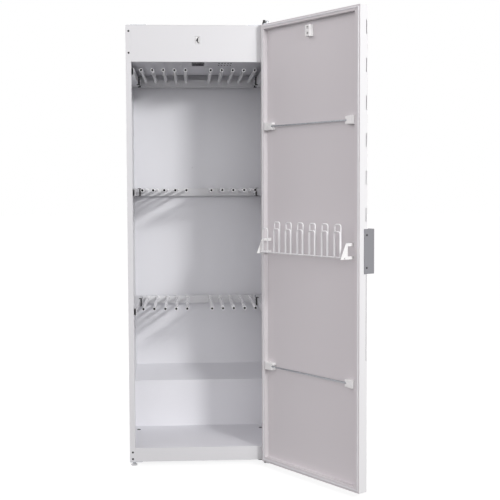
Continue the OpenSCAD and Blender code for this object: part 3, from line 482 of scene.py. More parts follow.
class Solid:
    """A mesh that is being built, in millimetres in the part's frame."""

    def __init__(self) -> None:
        """Starts with nothing."""
        self.bm = bmesh.new()

    def box(self, low: Point, high: Point, round_mm: float = 0.0, steps: int = 3) -> "Solid":
        """Adds a box with rounded edges.

        Args:
            low: Its lowest corner.
            high: Its highest corner.
            round_mm: The radius of its edges.
            steps: Faces across each rounding.

        Returns:
            This solid.
        """
        middle = (Vector(low) + Vector(high)) / 2
        size = Vector(high) - Vector(low)
        place = Matrix.Translation(middle) @ Matrix.Diagonal((*size, 1.0))
        made = bmesh.ops.create_cube(self.bm, size=1.0, matrix=place)
        if round_mm:
            edges = {e for v in made["verts"] for e in v.link_edges}
            bmesh.ops.bevel(
                self.bm, geom=list(edges), offset=round_mm, segments=steps, profile=0.5, affect="EDGES"
            )
        return self

    def lathe(self, profile: Sequence[Point], place: Matrix, steps: int = 32) -> "Solid":
        """Adds a turned piece.

        Args:
            profile: Radius and height of each point, from one end to the other.
            place: Where its axis goes.
            steps: Faces round it.

        Returns:
            This solid.
        """
        rings = []
        for radius, height in profile:
            if radius < ON_AXIS:
                rings.append([self.bm.verts.new(place @ Vector((0, 0, height)))])
                continue
            angles = [2 * math.pi * i / steps for i in range(steps)]
            rings.append(
                [
                    self.bm.verts.new(place @ Vector((radius * math.cos(a), radius * math.sin(a), height)))
                    for a in angles
                ]
            )
        for a, b in zip(rings, rings[1:]):
            for i in range(steps):
                j = (i + 1) % steps
                corners = [a[i % len(a)], a[j % len(a)], b[j % len(b)], b[i % len(b)]]
                unique = list(dict.fromkeys(corners))
                if len(unique) > 2:
                    self.bm.faces.new(unique)
        for ring, flip in ((rings[0], True), (rings[-1], False)):
            if len(ring) > 1:
                self.bm.faces.new(ring[::-1] if flip else ring)
        return self

    def sweep(self, rings: Sequence[Sequence[Point]], closed: bool = False) -> "Solid":
        """Joins rings of points, each to the next.

        Args:
            rings: The rings, each with as many points.
            closed: Whether the last joins the first. Otherwise the ends are closed by faces.

        Returns:
            This solid.
        """
        made = [[self.bm.verts.new(Vector(p)) for p in ring] for ring in rings]
        pairs = list(zip(made, made[1:])) + ([(made[-1], made[0])] if closed else [])
        for a, b in pairs:
            for i in range(len(a)):
                j = (i + 1) % len(a)
                self.bm.faces.new((a[i], a[j], b[j], b[i]))
        if not closed:
            self.bm.faces.new(made[0][::-1])
            self.bm.faces.new(made[-1])
        return self

    def grid(self, columns: int, rows: int, at: Callable[[float, float], Point], thick_mm: float) -> "Solid":
        """Adds a curved sheet.

        Args:
            columns: Faces along it.
            rows: Faces across it.
            at: The point at a share of its length and of its width.
            thick_mm: How thick it is.

        Returns:
            This solid.
        """
        verts = [
            [self.bm.verts.new(Vector(at(i / columns, j / rows))) for j in range(rows + 1)]
            for i in range(columns + 1)
        ]
        faces = [
            self.bm.faces.new((verts[i][j], verts[i + 1][j], verts[i + 1][j + 1], verts[i][j + 1]))
            for i in range(columns)
            for j in range(rows)
        ]
        self.bm.normal_update()
        bmesh.ops.solidify(self.bm, geom=faces, thickness=thick_mm)
        return self

    def copy_of(self, mesh: bpy.types.Mesh, place: Matrix) -> "Solid":
        """Adds a copy of a mesh that is in millimetres.

        Args:
            mesh: The mesh.
            place: Where its origin goes.

        Returns:
            This solid.
        """
        before = len(self.bm.verts)
        self.bm.from_mesh(mesh)
        self.bm.verts.ensure_lookup_table()
        bmesh.ops.transform(self.bm, matrix=place, verts=self.bm.verts[before:])
        return self

    def moved(self, place: Matrix) -> "Solid":
        """Moves all of it."""
        bmesh.ops.transform(self.bm, matrix=place, verts=self.bm.verts)
        return self

    def piece(
        self,
        name: str,
        finish: Finish,
        body: str,
        slot: str,
        replaces: Iterable[str] = (),
        crease: float = 35.0,
    ) -> bpy.types.Object:
        """Makes the mesh a piece of the object.

        Args:
            name: The piece's name.
            finish: Its finish.
            body: The body that it moves with.
            slot: The record's material slot. Not used.
            replaces: The nodes that it stands for.
            crease: Degrees between two faces from which their edge stays sharp.

        Returns:
            The piece.
        """
        bmesh.ops.recalc_face_normals(self.bm, faces=self.bm.faces)
        bmesh.ops.scale(self.bm, vec=(METRE, METRE, METRE), verts=self.bm.verts)
        for face in self.bm.faces:
            face.smooth = True
        for edge in self.bm.edges:
            edge.smooth = edge.calc_face_angle(math.pi) < math.radians(crease)
        mesh = bpy.data.meshes.new(name)
        self.bm.to_mesh(mesh)
        self.bm.free()
        mesh.materials.append(finish.material())
        piece = bpy.data.objects.new(name, mesh)
        bpy.context.scene.collection.objects.link(piece)
        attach(piece, body)
        for node in replaces:
            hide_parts(node)
        return piece


FOLD_ANGLE = math.radians(50)  # a flatter edge than this belongs to a curve and isn't a fold
SHORTEST_EDGE = 4.0  # times the fold's radius
NARROWEST_FACE = 1.3  # times the fold's radius


def formed(node: str, bend_mm: float, steps: int = 2, concave: bool = False) -> Solid:
    """A node's own solid with its long edges rounded, as a folded sheet or a moulding has them.

    Edges that are too short for the rounding, or that border a face too narrow for it, stay sharp.

    Args:
        node: The CAD node.
        bend_mm: The radius of the edges.
        steps: Faces across each rounding.
        concave: Whether the inner corners are rounded too.

    Returns:
        The rounded solid.
    """
    solid = Solid()
    bm = solid.bm
    bm.from_mesh(frame["nodes"][node].data)
    bmesh.ops.scale(bm, vec=(1 / METRE, 1 / METRE, 1 / METRE), verts=bm.verts)
    bmesh.ops.remove_doubles(bm, verts=bm.verts, dist=0.01)
    bmesh.ops.dissolve_limit(bm, angle_limit=math.radians(1), verts=bm.verts, edges=bm.edges)
    chosen = []
    for edge in bm.edges:
        if len(edge.link_faces) != 2 or edge.calc_length() < SHORTEST_EDGE * bend_mm:
            continue
        if edge.calc_face_angle(0.0) < FOLD_ANGLE or not (edge.is_convex or concave):
            continue
        width = min(2 * f.calc_area() / f.calc_perimeter() for f in edge.link_faces)
        if width > NARROWEST_FACE * bend_mm:
            chosen.append(edge)
    bmesh.ops.bevel(bm, geom=chosen, offset=bend_mm, segments=steps, profile=0.5, affect="EDGES")
    return solid


def show_formed(
    node: str, finish: Finish, slot: str, bend_mm: float, steps: int = 2, concave: bool = False
) -> None:
    """Shows a node with rounded edges in place of its plain solid. Its flat faces keep flat shading.

    Args:
        node: The CAD node.
        finish: Its finish.
        slot: The record's material slot.
        bend_mm: The radius of the edges.
        steps: Faces across each rounding.
        concave: Whether the inner corners are rounded too.
    """
    body = frame["nodes"][node]["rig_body"]
    solid = formed(node, bend_mm, steps, concave)
    piece = solid.piece(f"{node}_formed", finish, body, slot, replaces=[node], crease=30.0)
    flat = piece.modifiers.new("flat_faces", "WEIGHTED_NORMAL")
    flat.keep_sharp = True
    LOG.info("formed %s", node)


def dress(finish: Finish, *nodes: str) -> None:
    """Gives nodes that keep their own solid a finish.

    Args:
        finish: The finish.
        nodes: The CAD nodes.
    """
    for node in nodes:
        mesh = frame["nodes"][node].data
        mesh.materials.clear()
        mesh.materials.append(finish.material())
        LOG.info("dressed %s", node)


@dataclass(frozen=True)
class CrossHead:
    """A pan-head screw with a cross recess, of which only the head shows."""

    radius: float
    high: float

    def mesh(self) -> bpy.types.Mesh:
        """The head alone, in millimetres, seated at the origin and facing +Z.

        Returns:
            The mesh, made once for each size.
        """
        name = f"cross_head_{self.radius:g}_{self.high:g}"
        found = bpy.data.meshes.get(name)
        if found:
            return found
        r, h = self.radius, self.high
        profile = [(r, 0), (r, 0.25 * h), (0.93 * r, 0.55 * h)]
        profile += [(0.75 * r, 0.82 * h), (0.45 * r, 0.96 * h), (0, h)]
        head = self._temporary(Solid().lathe(profile, Matrix(), 24))
        arm, width = 0.52 * r, 0.13 * r
        cutter = Solid().box((-arm, -width, 0.35 * h), (arm, width, h + 1))
        cutter.box((-width, -arm, 0.35 * h), (width, arm, h + 1))
        recess = self._temporary(cutter)
        cut = head.modifiers.new("recess", "BOOLEAN")
        cut.object = recess
        cut.solver = "EXACT"
        cut.use_self = True
        bpy.context.view_layer.update()
        result = bpy.data.meshes.new_from_object(head.evaluated_get(bpy.context.evaluated_depsgraph_get()))
        result.name = name
        for made in (head, recess):
            bpy.data.objects.remove(made)
        return result

    @staticmethod
    def _temporary(solid: Solid) -> bpy.types.Object:
        """An object that is only there to be cut, or to cut.

        Args:
            solid: Its mesh.

        Returns:
            The object.
        """
        bmesh.ops.recalc_face_normals(solid.bm, faces=solid.bm.faces)
        mesh = bpy.data.meshes.new("temporary")
        solid.bm.to_mesh(mesh)
        solid.bm.free()
        made = bpy.data.objects.new("temporary", mesh)
        bpy.context.scene.collection.objects.link(made)
        return made


# ---------------------------------------------------------------- casing


@dataclass
class Casing:
    """The folded sheet-steel cabinet, with its plugs, screws, louvres and beads."""

    bend: float = 0.5  # radius of the folds
    plug_radius: float = 4.2
    plug_column: float = -285.0
    plug_heights: tuple[float, ...] = (1815.0, 1726.0, 60.0, 32.0)
    floor_plug: tuple[float, float] = (276.0, 337.0)
    back_screw_column: float = 285.5
    back_screw_first: float = 50.0
    back_screw_pitch: float = 355.2
    back_screws: int = 6  # on each side
    sill_screw_height: float = 34.0
    sill_screw_places: tuple[float, ...] = (-150.0, 0.0, 150.0)
    # X and height of each screw on the roof's plates, and how far it is turned
    plate_screws: tuple[tuple[float, float, float], ...] = (
        (219.5, 1843.0, 12.0),
        (257.5, 1843.0, 50.0),
        (-221.5, 1842.0, 31.0),
    )
    plate_screw_in: float = 19.0
    ceiling_screw: tuple[float, float] = (-68.0, 143.0)
    louvre_width: float = 60.0
    louvre_pitch: tuple[float, float] = (74.0, 30.0)
    louvre_first: tuple[float, float] = (-114.0, 150.0)
    louvre_grid: tuple[int, int] = (4, 5)
    louvre_high: float = 5.0
    hood_out: float = 5.0
    hood_lap: float = 1.0  # past each end of the slot
    bead_places: tuple[float, ...] = (-170.0, 170.0)
    bead_span: tuple[float, float] = (420.0, 1620.0)
    bead_half: float = 14.0  # half the width of a bead
    bead_proud: float = 2.0
    bead_end: float = 16.0  # length of its rounded end
    vent: tuple[float, float] = (4.6, 26.0)  # width, and length from front to back
    vent_first: tuple[float, float] = (88.0, 48.0)
    vent_pitch: tuple[float, float] = (12.5, 72.0)
    vent_grid: tuple[int, int] = (5, 2)

    def build(self) -> None:
        """Builds all of the casing."""
        for node in ("side_panel_left", "side_panel_right", "roof_panel", "fascia", "plinth", "rear_panel"):
            show_formed(node, CASE_WHITE, "casing", self.bend)
        for node in ("ceiling_panel", "inner_back_wall", "compressor_cover", "floor_panel"):
            show_formed(node, LINER_WHITE, "casing", self.bend)
        for node in ("tracks_left", "tracks_right"):
            show_formed(node, CASE_WHITE, "casing", self.bend)
        show_formed("base_frame", ZINC, "zinc", 0.8)
        show_formed("ceiling_grille", GRILLE_ABS, "black_plastic", 0.5)
        self.plugs()
        self.screws()
        self.louvres()
        self.beads()
        self.vent_holes()

    def vent_holes(self) -> None:
        """The ten short slots in the ceiling, each a dark patch of painted shade for the unlit space above
        it.
        """
        solid = Solid()
        wide, long = (size / 2 for size in self.vent)
        for column in range(self.vent_grid[0]):
            for row in range(self.vent_grid[1]):
                x = self.vent_first[0] + column * self.vent_pitch[0]
                y = self.vent_first[1] + row * self.vent_pitch[1]
                solid.box((x - wide, y - long, CEILING - 0.08), (x + wide, y + long, CEILING + 0.05))
        solid.piece("ceiling_slot_shade", HOLE_SHADE, "cabinet", "casing")
        LOG.info("vent holes")

    def plugs(self) -> None:
        """The domed black plugs in the front flanges and in the floor."""
        dome = [(self.plug_radius, 0), (self.plug_radius, 0.15), (3.4, 0.5), (1.8, 0.65), (0, 0.7)]
        solid = Solid()
        for z in self.plug_heights:
            solid.lathe(dome, aim((self.plug_column, 0.05, z), (0, -1, 0)), 24)
        cap = [(8.0, 0), (8.0, 0.4), (7.2, 1.0), (5.0, 1.4), (4.6, 1.1), (0, 1.0)]
        for side in Side:
            place = (side.value * self.floor_plug[0], self.floor_plug[1], FLOOR)
            solid.lathe(cap, aim(place, (0, 0, 1)), 32)
        solid.piece("hole_plugs_domed", BLACK_ABS, "cabinet", "black_plastic", ["hole_plugs"])
        LOG.info("plugs")

    def screws(self) -> None:
        """The screws on the back, on the hinge plates and in the ceiling."""
        head = CrossHead(4.0, 2.2).mesh()
        solid = Solid()
        for number in range(self.back_screws):
            for side in Side:
                z = self.back_screw_first + number * self.back_screw_pitch
                place = (side.value * self.back_screw_column, DEPTH, z)
                solid.copy_of(head, aim(place, (0, 1, 0), 23.0 * number))
        # Each screw is turned by its own number of degrees, so that no two crosses line up.
        for x in self.sill_screw_places:
            solid.copy_of(head, aim((x, DEPTH, self.sill_screw_height), (0, 1, 0), x))
        for x, z, turn in self.plate_screws:
            solid.copy_of(head, aim((x, self.plate_screw_in, z), (0, 0, 1), turn))
        small = CrossHead(3.0, 1.6).mesh()
        solid.copy_of(small, aim((*self.ceiling_screw, CEILING), (0, 0, -1), 20.0))
        solid.piece("case_screws_cross", ZINC, "cabinet", "zinc", ["case_screws"])
        LOG.info("case screws")

    def hood(self, u: float, v: float, x: float, z: float) -> Point:
        """A point of a louvre's hood, pressed out of the rear panel.

        Args:
            u: Share of the way along the slot.
            v: Share of the way down.
            x: The slot's left end.
            z: The slot's lower edge.

        Returns:
            The point.
        """
        ends = min(1.0, 6.0 * min(u, 1.0 - u))
        taper = math.sin(ends * math.pi / 2)
        out = self.hood_out * taper * math.sin(v * math.pi / 2)
        along = x - self.hood_lap + (self.louvre_width + 2 * self.hood_lap) * u
        top = z + self.louvre_high + 6.0
        return (along, DEPTH + 0.6 + out, top - (self.louvre_high + 5.0) * v)

    def louvres(self) -> None:
        """A pressed hood over each air slot in the rear panel."""
        solid = Solid()
        for column in range(self.louvre_grid[0]):
            for row in range(self.louvre_grid[1]):
                x = self.louvre_first[0] + column * self.louvre_pitch[0]
                z = self.louvre_first[1] + row * self.louvre_pitch[1]
                solid.grid(24, 6, lambda u, v: self.hood(u, v, x, z), 1.0)
        solid.piece("rear_louvre_hoods", CASE_WHITE, "cabinet", "casing", crease=50.0)
        LOG.info("louvres")

    def beads(self) -> None:
        """Two long beads pressed into the rear panel to stiffen it."""
        low, high = self.bead_span
        solid = Solid()
        for x in self.bead_places:

            def at(u: float, v: float) -> Point:
                """A point of the bead.

                Args:
                    u: Share of the way up.
                    v: Share of the way across.

                Returns:
                    The point.
                """
                z = low + (high - low) * u
                near = max(0.0, 1 - min(z - low, high - z) / self.bead_end)
                fade = math.sqrt(max(0.0, 1 - near**2))
                across = (v - 0.5) * 2
                out = self.bead_proud * fade * math.cos(across * math.pi / 2) ** 2
                return (x + self.bead_half * across * fade, DEPTH + out, z)

            solid.grid(140, 12, at, 0.3)
        solid.piece("rear_beads", CASE_WHITE, "cabinet", "casing", crease=50.0)
        LOG.info("beads")


# ---------------------------------------------------------------- things on the casing


@dataclass
class Footing:
    """The four levelling feet: a plastic pad, a lock nut and a threaded stem."""

    pad: float = 13.0
    stem: float = 5.0
    pitch: float = 1.25  # of the thread
    nut_high: float = 5.0
    # X, Y and the height of what each nut locks against
    places: tuple[tuple[float, float, float], ...] = (
        (-281.0, 25.0, 17.0),
        (281.0, 25.0, 17.0),
        (-281.0, 540.0, 20.0),
        (281.0, 540.0, 20.0),
    )

    def build(self) -> None:
        """Builds the feet: pads first, then stems and nuts."""
        pads, steel = Solid(), Solid()
        pad = [(10.5, 0), (12.4, 0.4), (self.pad, 1.2), (self.pad, 4.2), (12.3, 5.0)]
        pad += [(8.0, 6.4), (6.6, 9.0), (6.4, 11.5), (0, 11.5)]
        for x, y, under in self.places:
            pads.lathe(pad, Matrix.Translation((x, y, 0)), 40)
            steel.lathe(self.thread(11.0, 56.0), Matrix.Translation((x, y, 0)), 24)
            self.nut(steel, x, y, under - self.nut_high)
        pads.piece("foot_pads", FOOT_PP, "cabinet", "grey_plastic", ["levelling_feet"])
        steel.piece("foot_stems", ZINC, "cabinet", "zinc", crease=28.0)
        LOG.info("feet")

    def thread(self, low: float, high: float) -> list[Point]:
        """The outline of a threaded stem.

        Args:
            low: Height of its lower end.
            high: Height of its upper end.

        Returns:
            Radius and height of each point.
        """
        turns = int((high - low) / self.pitch)
        outline: list[Point] = [(self.stem - 0.7, low)]
        for i in range(turns):
            z = low + i * self.pitch
            outline += [(self.stem - 0.6, z + 0.15), (self.stem, z + 0.5 * self.pitch)]
        return outline + [(self.stem - 0.6, high - 0.1), (0, high)]

    def nut(self, solid: Solid, x: float, y: float, z: float) -> None:
        """Adds a six-sided lock nut with its corners turned off.

        Args:
            solid: The mesh that it goes in.
            x: Its place.
            y: Its place.
            z: Height of its underside.
        """
        rings = []
        for radius, height in ((8.2, 0.0), (9.0, 0.7), (9.0, self.nut_high - 0.7), (8.2, self.nut_high)):
            angles = [math.pi / 3 * i for i in range(6)]
            rings.append([(x + radius * math.cos(a), y + radius * math.sin(a), z + height) for a in angles])
        solid.sweep(rings)


@dataclass
class Hinges:
    """The plates and pins that carry the door, and the guide for its lead."""

    pin: float = 4.0
    head: float = 5.5

    def build(self) -> None:
        """Builds the hinge hardware."""
        show_formed("hinge_plate_top", ZINC, "zinc", 0.5)
        show_formed("hinge_plate_bottom", DARK_STEEL, "dark_steel", 0.5)
        show_formed("blank_plates", ZINC, "zinc", 0.5)
        show_formed("cable_guide", BLACK_ABS, "black_plastic", 1.0)
        dress(GREY_PP, "door_bushes")
        r, h = self.pin, self.head
        upper = [(0, 1820.5), (r - 0.6, 1820.5), (r, 1821.3), (r, 1843.0), (h, 1843.0), (h, 1852.0)]
        upper += [(h - 0.4, 1853.6), (h - 1.6, 1854.8), (1.6, 1855.0), (1.2, 1853.4), (0, 1853.2)]
        lower = [(0, 11.0), (5.4, 11.0), (6.5, 11.8), (6.5, 17.0)]
        lower += [(r, 17.0), (r, 38.7), (r - 0.6, 39.5), (0, 39.5)]
        solid = Solid()
        for outline in (upper, lower):
            solid.lathe(outline, Matrix.Translation((HINGE[0], HINGE[1], 0)), 32)
        solid.piece("hinge_pins_turned", ZINC, "cabinet", "zinc", ["hinge_pins"])
        LOG.info("hinges")


@dataclass
class Services:
    """What is on the back and inside: inlet, spigot, the warm-air unit and the catch."""

    spigot_place: Point = (245.0, DEPTH, 100.0)
    catch_place: Point = (-2.0, 14.7, CEILING + 89.0)

    def build(self) -> None:
        """Dresses the inner parts, and builds the spigot and the catch."""
        show_formed("latch_housing", WHITE_ABS, "white_plastic", 0.5)
        show_formed("mains_inlet", BLACK_ABS, "black_plastic", 0.6)
        dress(DARK_STEEL, "compressor")
        dress(BLACK_RUBBER, "compressor_mounts")
        dress(COPPER, "refrigerant_pipes")
        dress(FINS, "evaporator", "condenser")
        dress(GREY_PP, "blower_housing", "control_box", "condensate_tray", "fan_motor")
        dress(BLACK_ABS, "fan_wheel")
        self.spigot()
        self.catch()

    def spigot(self) -> None:
        """The drain spigot, with a flange on the rear panel and barbs that hold a hose."""
        outline = [(0, -15.2), (9.0, -15.2), (9.0, 0.0), (14.1, 0.0)]
        outline += [(14.5, 0.4), (14.5, 1.6), (14.1, 2.0), (8.9, 2.0)]
        for barb in range(3):
            y = 4.0 + barb * 6.0
            outline += [(9.5, y), (8.9, y + 5.0)]
        outline += [(9.5, 22.0), (8.4, 24.0), (7.0, 24.0), (7.0, -9.0), (0, -9.0)]
        solid = Solid().lathe(outline, aim(self.spigot_place, (0, 1, 0)), 36)
        solid.piece("drain_spigot_barbed", GREY_PP, "cabinet", "grey_plastic", ["drain_spigot"], crease=28.0)
        LOG.info("spigot")

    def catch(self) -> None:
        """The catch: a dark arrowhead of bent strip on a pale sliding plate, with painted shade filling the
        cavity between its arms.
        """
        x, y, z = self.catch_place
        outline = ((4.0, 13.0), (6.2, 10.8), (-2.5, -1.0), (6.2, -10.8), (4.0, -13.0), (-6.0, -1.0))
        # A dark triangle between the arms: painted shade, for the cavity behind them.
        cavity_shade = ((-2.6, -1.0), (3.6, 7.4), (3.6, -9.4))
        strip, plate = Solid(), Solid()
        strip.sweep([[(x + u, depth, z + v) for u, v in outline] for depth in (-2.5, 1.0)])
        strip.sweep([[(x + u, depth, z + v) for u, v in cavity_shade] for depth in (-1.0, 1.0)])
        strip.piece("catch_strip", DARK_STEEL, "catch", "dark_steel", ["latch_catch"])
        plate.box((x - 8.3, 1.0, z - 14.3), (x + 8.3, y + 4.0, z + 14.3), 0.5)
        plate.piece("catch_plate", WHITE_ABS, "catch", "dark_steel")
        LOG.info("catch")


# ---------------------------------------------------------------- hanging sections


@dataclass
class HangingSection:
    """One pull-out section: a folded rail with cheeks, ten open tubes and black glides."""

    level: str
    height: float
    rod: float = 6.8
    bore: float = 5.0
    front: float = 44.0  # the tubes' open ends
    rail: float = 505.0  # the rail's face, where the tubes end
    weld: float = 2.2
    cheek: float = 258.0  # inner face of each cheek
    # Depth of each rivet, and its height from the tubes
    rivet_places: tuple[tuple[float, float], ...] = ((386.0, -2.0), (394.0, -18.0), (492.0, -19.0))

    def build(self) -> None:
        """Builds the section."""
        show_formed(f"carriage_{self.level}", CASE_WHITE, "casing", 0.6)
        show_formed(f"glides_{self.level}", BLACK_ABS, "black_plastic", 0.8)
        self.tubes()
        self.bores()
        self.welds()
        self.rivets()

    def tubes(self) -> None:
        """The ten tubes. Each is rolled over a little at its open end, which the powder rounds off."""
        r, inner, length = self.rod, self.bore, self.rail + 0.5 - self.front
        wall = [(0, 120.0), (inner, 120.0), (inner, 1.2), (inner + 0.2, 0.4), (inner + 0.8, 0.0)]
        wall += [(r - 0.2, 0.1)]
        wall += [(r + 0.25, 0.6), (r + 0.35, 1.4), (r + 0.2, 2.6), (r, 3.6), (r, length), (0, length)]
        solid = Solid()
        for x in ROD_PLACES:
            solid.lathe(wall, aim((x, self.front, self.height), (0, 1, 0)), 32)
        node = f"rods_{self.level}"
        body = f"section_{self.level}"
        solid.piece(f"{node}_tubes", WIRE_WHITE, body, "white_wire", [node], crease=50.0)

    def bores(self) -> None:
        """Painted shade inside each tube: a near-black sleeve, where no light reaches."""
        outer, inner = self.bore - 0.02, self.bore - 0.25
        sleeve = [(0, 90.0), (outer, 90.0), (outer, 0.9), (inner, 0.9), (inner, 89.5), (0, 89.5)]
        solid = Solid()
        for x in ROD_PLACES:
            solid.lathe(sleeve, aim((x, self.front, self.height), (0, 1, 0)), 24)
        solid.piece(f"rod_bore_shade_{self.level}", HOLE_SHADE, f"section_{self.level}", "dark_steel")

    def welds(self) -> None:
        """The painted-over weld round the root of each tube."""
        r, w = self.rod, self.weld
        fillet = [(r - 0.3, w + 0.4), (r + 0.25, w), (r + 0.7, 0.9)]
        fillet += [(r + 1.5, 0.35), (r + w, 0.0), (r - 0.3, -0.1)]
        solid = Solid()
        for x in ROD_PLACES:
            solid.lathe(fillet, aim((x, self.rail, self.height), (0, -1, 0)), 24)
        body = f"section_{self.level}"
        solid.piece(f"rod_welds_{self.level}", WIRE_WHITE, body, "white_wire", crease=60.0)

    def rivets(self) -> None:
        """The rivets that hold each glide to its cheek, seen on the cheek's inner face."""
        dome = [(2.6, 0), (2.6, 0.3), (2.0, 1.0), (1.0, 1.35), (0, 1.45)]
        solid = Solid()
        for side in Side:
            for y, z in self.rivet_places:
                place = (side.value * self.cheek, y, self.height + z)
                solid.lathe(dome, aim(place, (-side.value, 0, 0)), 20)
        solid.piece(f"glide_rivets_{self.level}", DARK_STEEL, f"section_{self.level}", "dark_steel")
        LOG.info("section %s", self.level)


# ---------------------------------------------------------------- door


@dataclass
class Door:
    """The door, built closed and turned to where it stands."""

    seal_in: float = 6.0  # from the door's edge to the seal
    seal_wide: float = 6.0
    seal_high: float = 2.5
    wire_coat: float = 0.5  # the thickness of powder on the rack's wire
    seam_wide: float = 1.4
    seam_span: tuple[float, float] = (522.0, 846.0)
    placed: Matrix = field(default_factory=door_open)

    def build(self) -> None:
        """Builds all of the door."""
        show_formed("door_skin", DOOR_WHITE, "casing", 2.0, 4)
        show_formed("door_liner", DOOR_LINER, "casing", 2.6, 5, concave=True)
        show_formed("rod_clips", WHITE_ABS, "white_plastic", 1.6, 3)
        show_formed("glove_brackets", WHITE_ABS, "white_plastic", 0.5)
        show_formed("striker", WHITE_ABS, "white_plastic", 1.2, 3)
        dress(WIRE_WHITE, "glove_rack")
        coat = frame["nodes"]["glove_rack"].modifiers.new("powder", "DISPLACE")
        coat.mid_level = 0.0
        coat.strength = self.wire_coat * METRE
        dress(ZINC, "door_rods")
        self.seal()
        self.seam()

    def seal(self) -> None:
        """The seal: one moulded frame with a bulb and a thin lip, mitred at its corners."""
        w, h = self.seal_wide, self.seal_high
        outline = [(0, 0), (0, 0.7), (0.8, 1.0), (1.0, 1.7), (1.7, 2.3), (2.8, h), (3.8, 2.3), (4.5, 1.7)]
        outline += [(4.7, 1.1), (5.4, 0.9), (w, 0.6), (w, 0)]
        left, right = -HALF_WIDTH + self.seal_in, HALF_WIDTH - self.seal_in
        low, high = DOOR_LOW + self.seal_in, DOOR_HIGH - self.seal_in
        corners = ((left, low, 1, 1), (right, low, -1, 1), (right, high, -1, -1), (left, high, 1, -1))
        rings = [
            [(x + sx * across, DOOR_IN + out, z + sz * across) for across, out in outline]
            for x, z, sx, sz in corners
        ]
        solid = Solid().sweep(rings, closed=True).moved(self.placed)
        solid.piece("door_seal", SEAL_PVC, "door", "gasket_rubber", ["door_gasket"], crease=50.0)
        LOG.info("seal")

    def seam(self) -> None:
        """The seam in the door's free edge, below the handle, with its shade painted dark."""
        y, half = DOOR_OUT + HANDLE_IN, self.seam_wide / 2
        low, high = self.seam_span
        solid = Solid().box((-HALF_WIDTH - 0.12, y - half, low), (-HALF_WIDTH + 0.3, y + half, high), 0.1, 1)
        solid.moved(self.placed).piece("door_edge_seam_shade", SEAM, "door", "casing")


@dataclass
class Handle:
    """The grey handle on the door's free edge and its two screws."""

    thick: float = 3.5
    screw_heights: tuple[float, float] = (871.0, 993.0)

    def build(self) -> None:
        """Builds the handle."""
        show_formed("handle", ANODISED, "handle_alu", 0.9, 3)
        head = CrossHead(3.9, 2.0).mesh()
        solid = Solid()
        # Each screw is turned by its own height in degrees, so that the crosses don't line up.
        for z in self.screw_heights:
            place = (-HALF_WIDTH - self.thick, DOOR_OUT + HANDLE_IN, z)
            solid.copy_of(head, aim(place, (-1, 0, 0), z))
        solid.moved(door_open()).piece("handle_screws_cross", DARK_STEEL, "door", "zinc", ["handle_screws"])
        LOG.info("handle")


@dataclass
class Controls:
    """The control panel on the outer face of the door."""

    face: float = -48.0
    height: float = 1568.0
    window: tuple[float, float] = (10.0, 96.0)  # from and to, along the panel
    window_half: float = 15.0  # half its height
    lamps: tuple[float, ...] = (-76.0, -48.0, -20.0)
    lamps_up: float = 14.5
    placed: Matrix = field(default_factory=door_open)

    def build(self) -> None:
        """Builds the panel's window, indicators and buttons."""
        show_formed("control_panel", PANEL_ABS, "panel_plastic", 1.2, 3)
        for name in ("power", "program", "start"):
            show_formed(f"button_{name}", BUTTON_ABS, "button_plastic", 0.5)
        left, right = self.window
        low, high = self.height - self.window_half, self.height + self.window_half
        window = Solid().box((left, self.face - 0.6, low), (right, self.face + 0.5, high), 0.5)
        window.moved(self.placed).piece("display_window", SMOKED, "door", "panel_plastic")
        dome = [(1.6, -0.3), (1.6, 0.2), (1.1, 0.6), (0, 0.75)]
        lamps = Solid()
        for x in self.lamps:
            lamps.lathe(dome, aim((x, self.face, self.height + self.lamps_up), (0, -1, 0)), 20)
        lamps.moved(self.placed).piece("indicator_lamps", LIT, "door", "button_plastic")
        LOG.info("controls")


# ---------------------------------------------------------------- studio


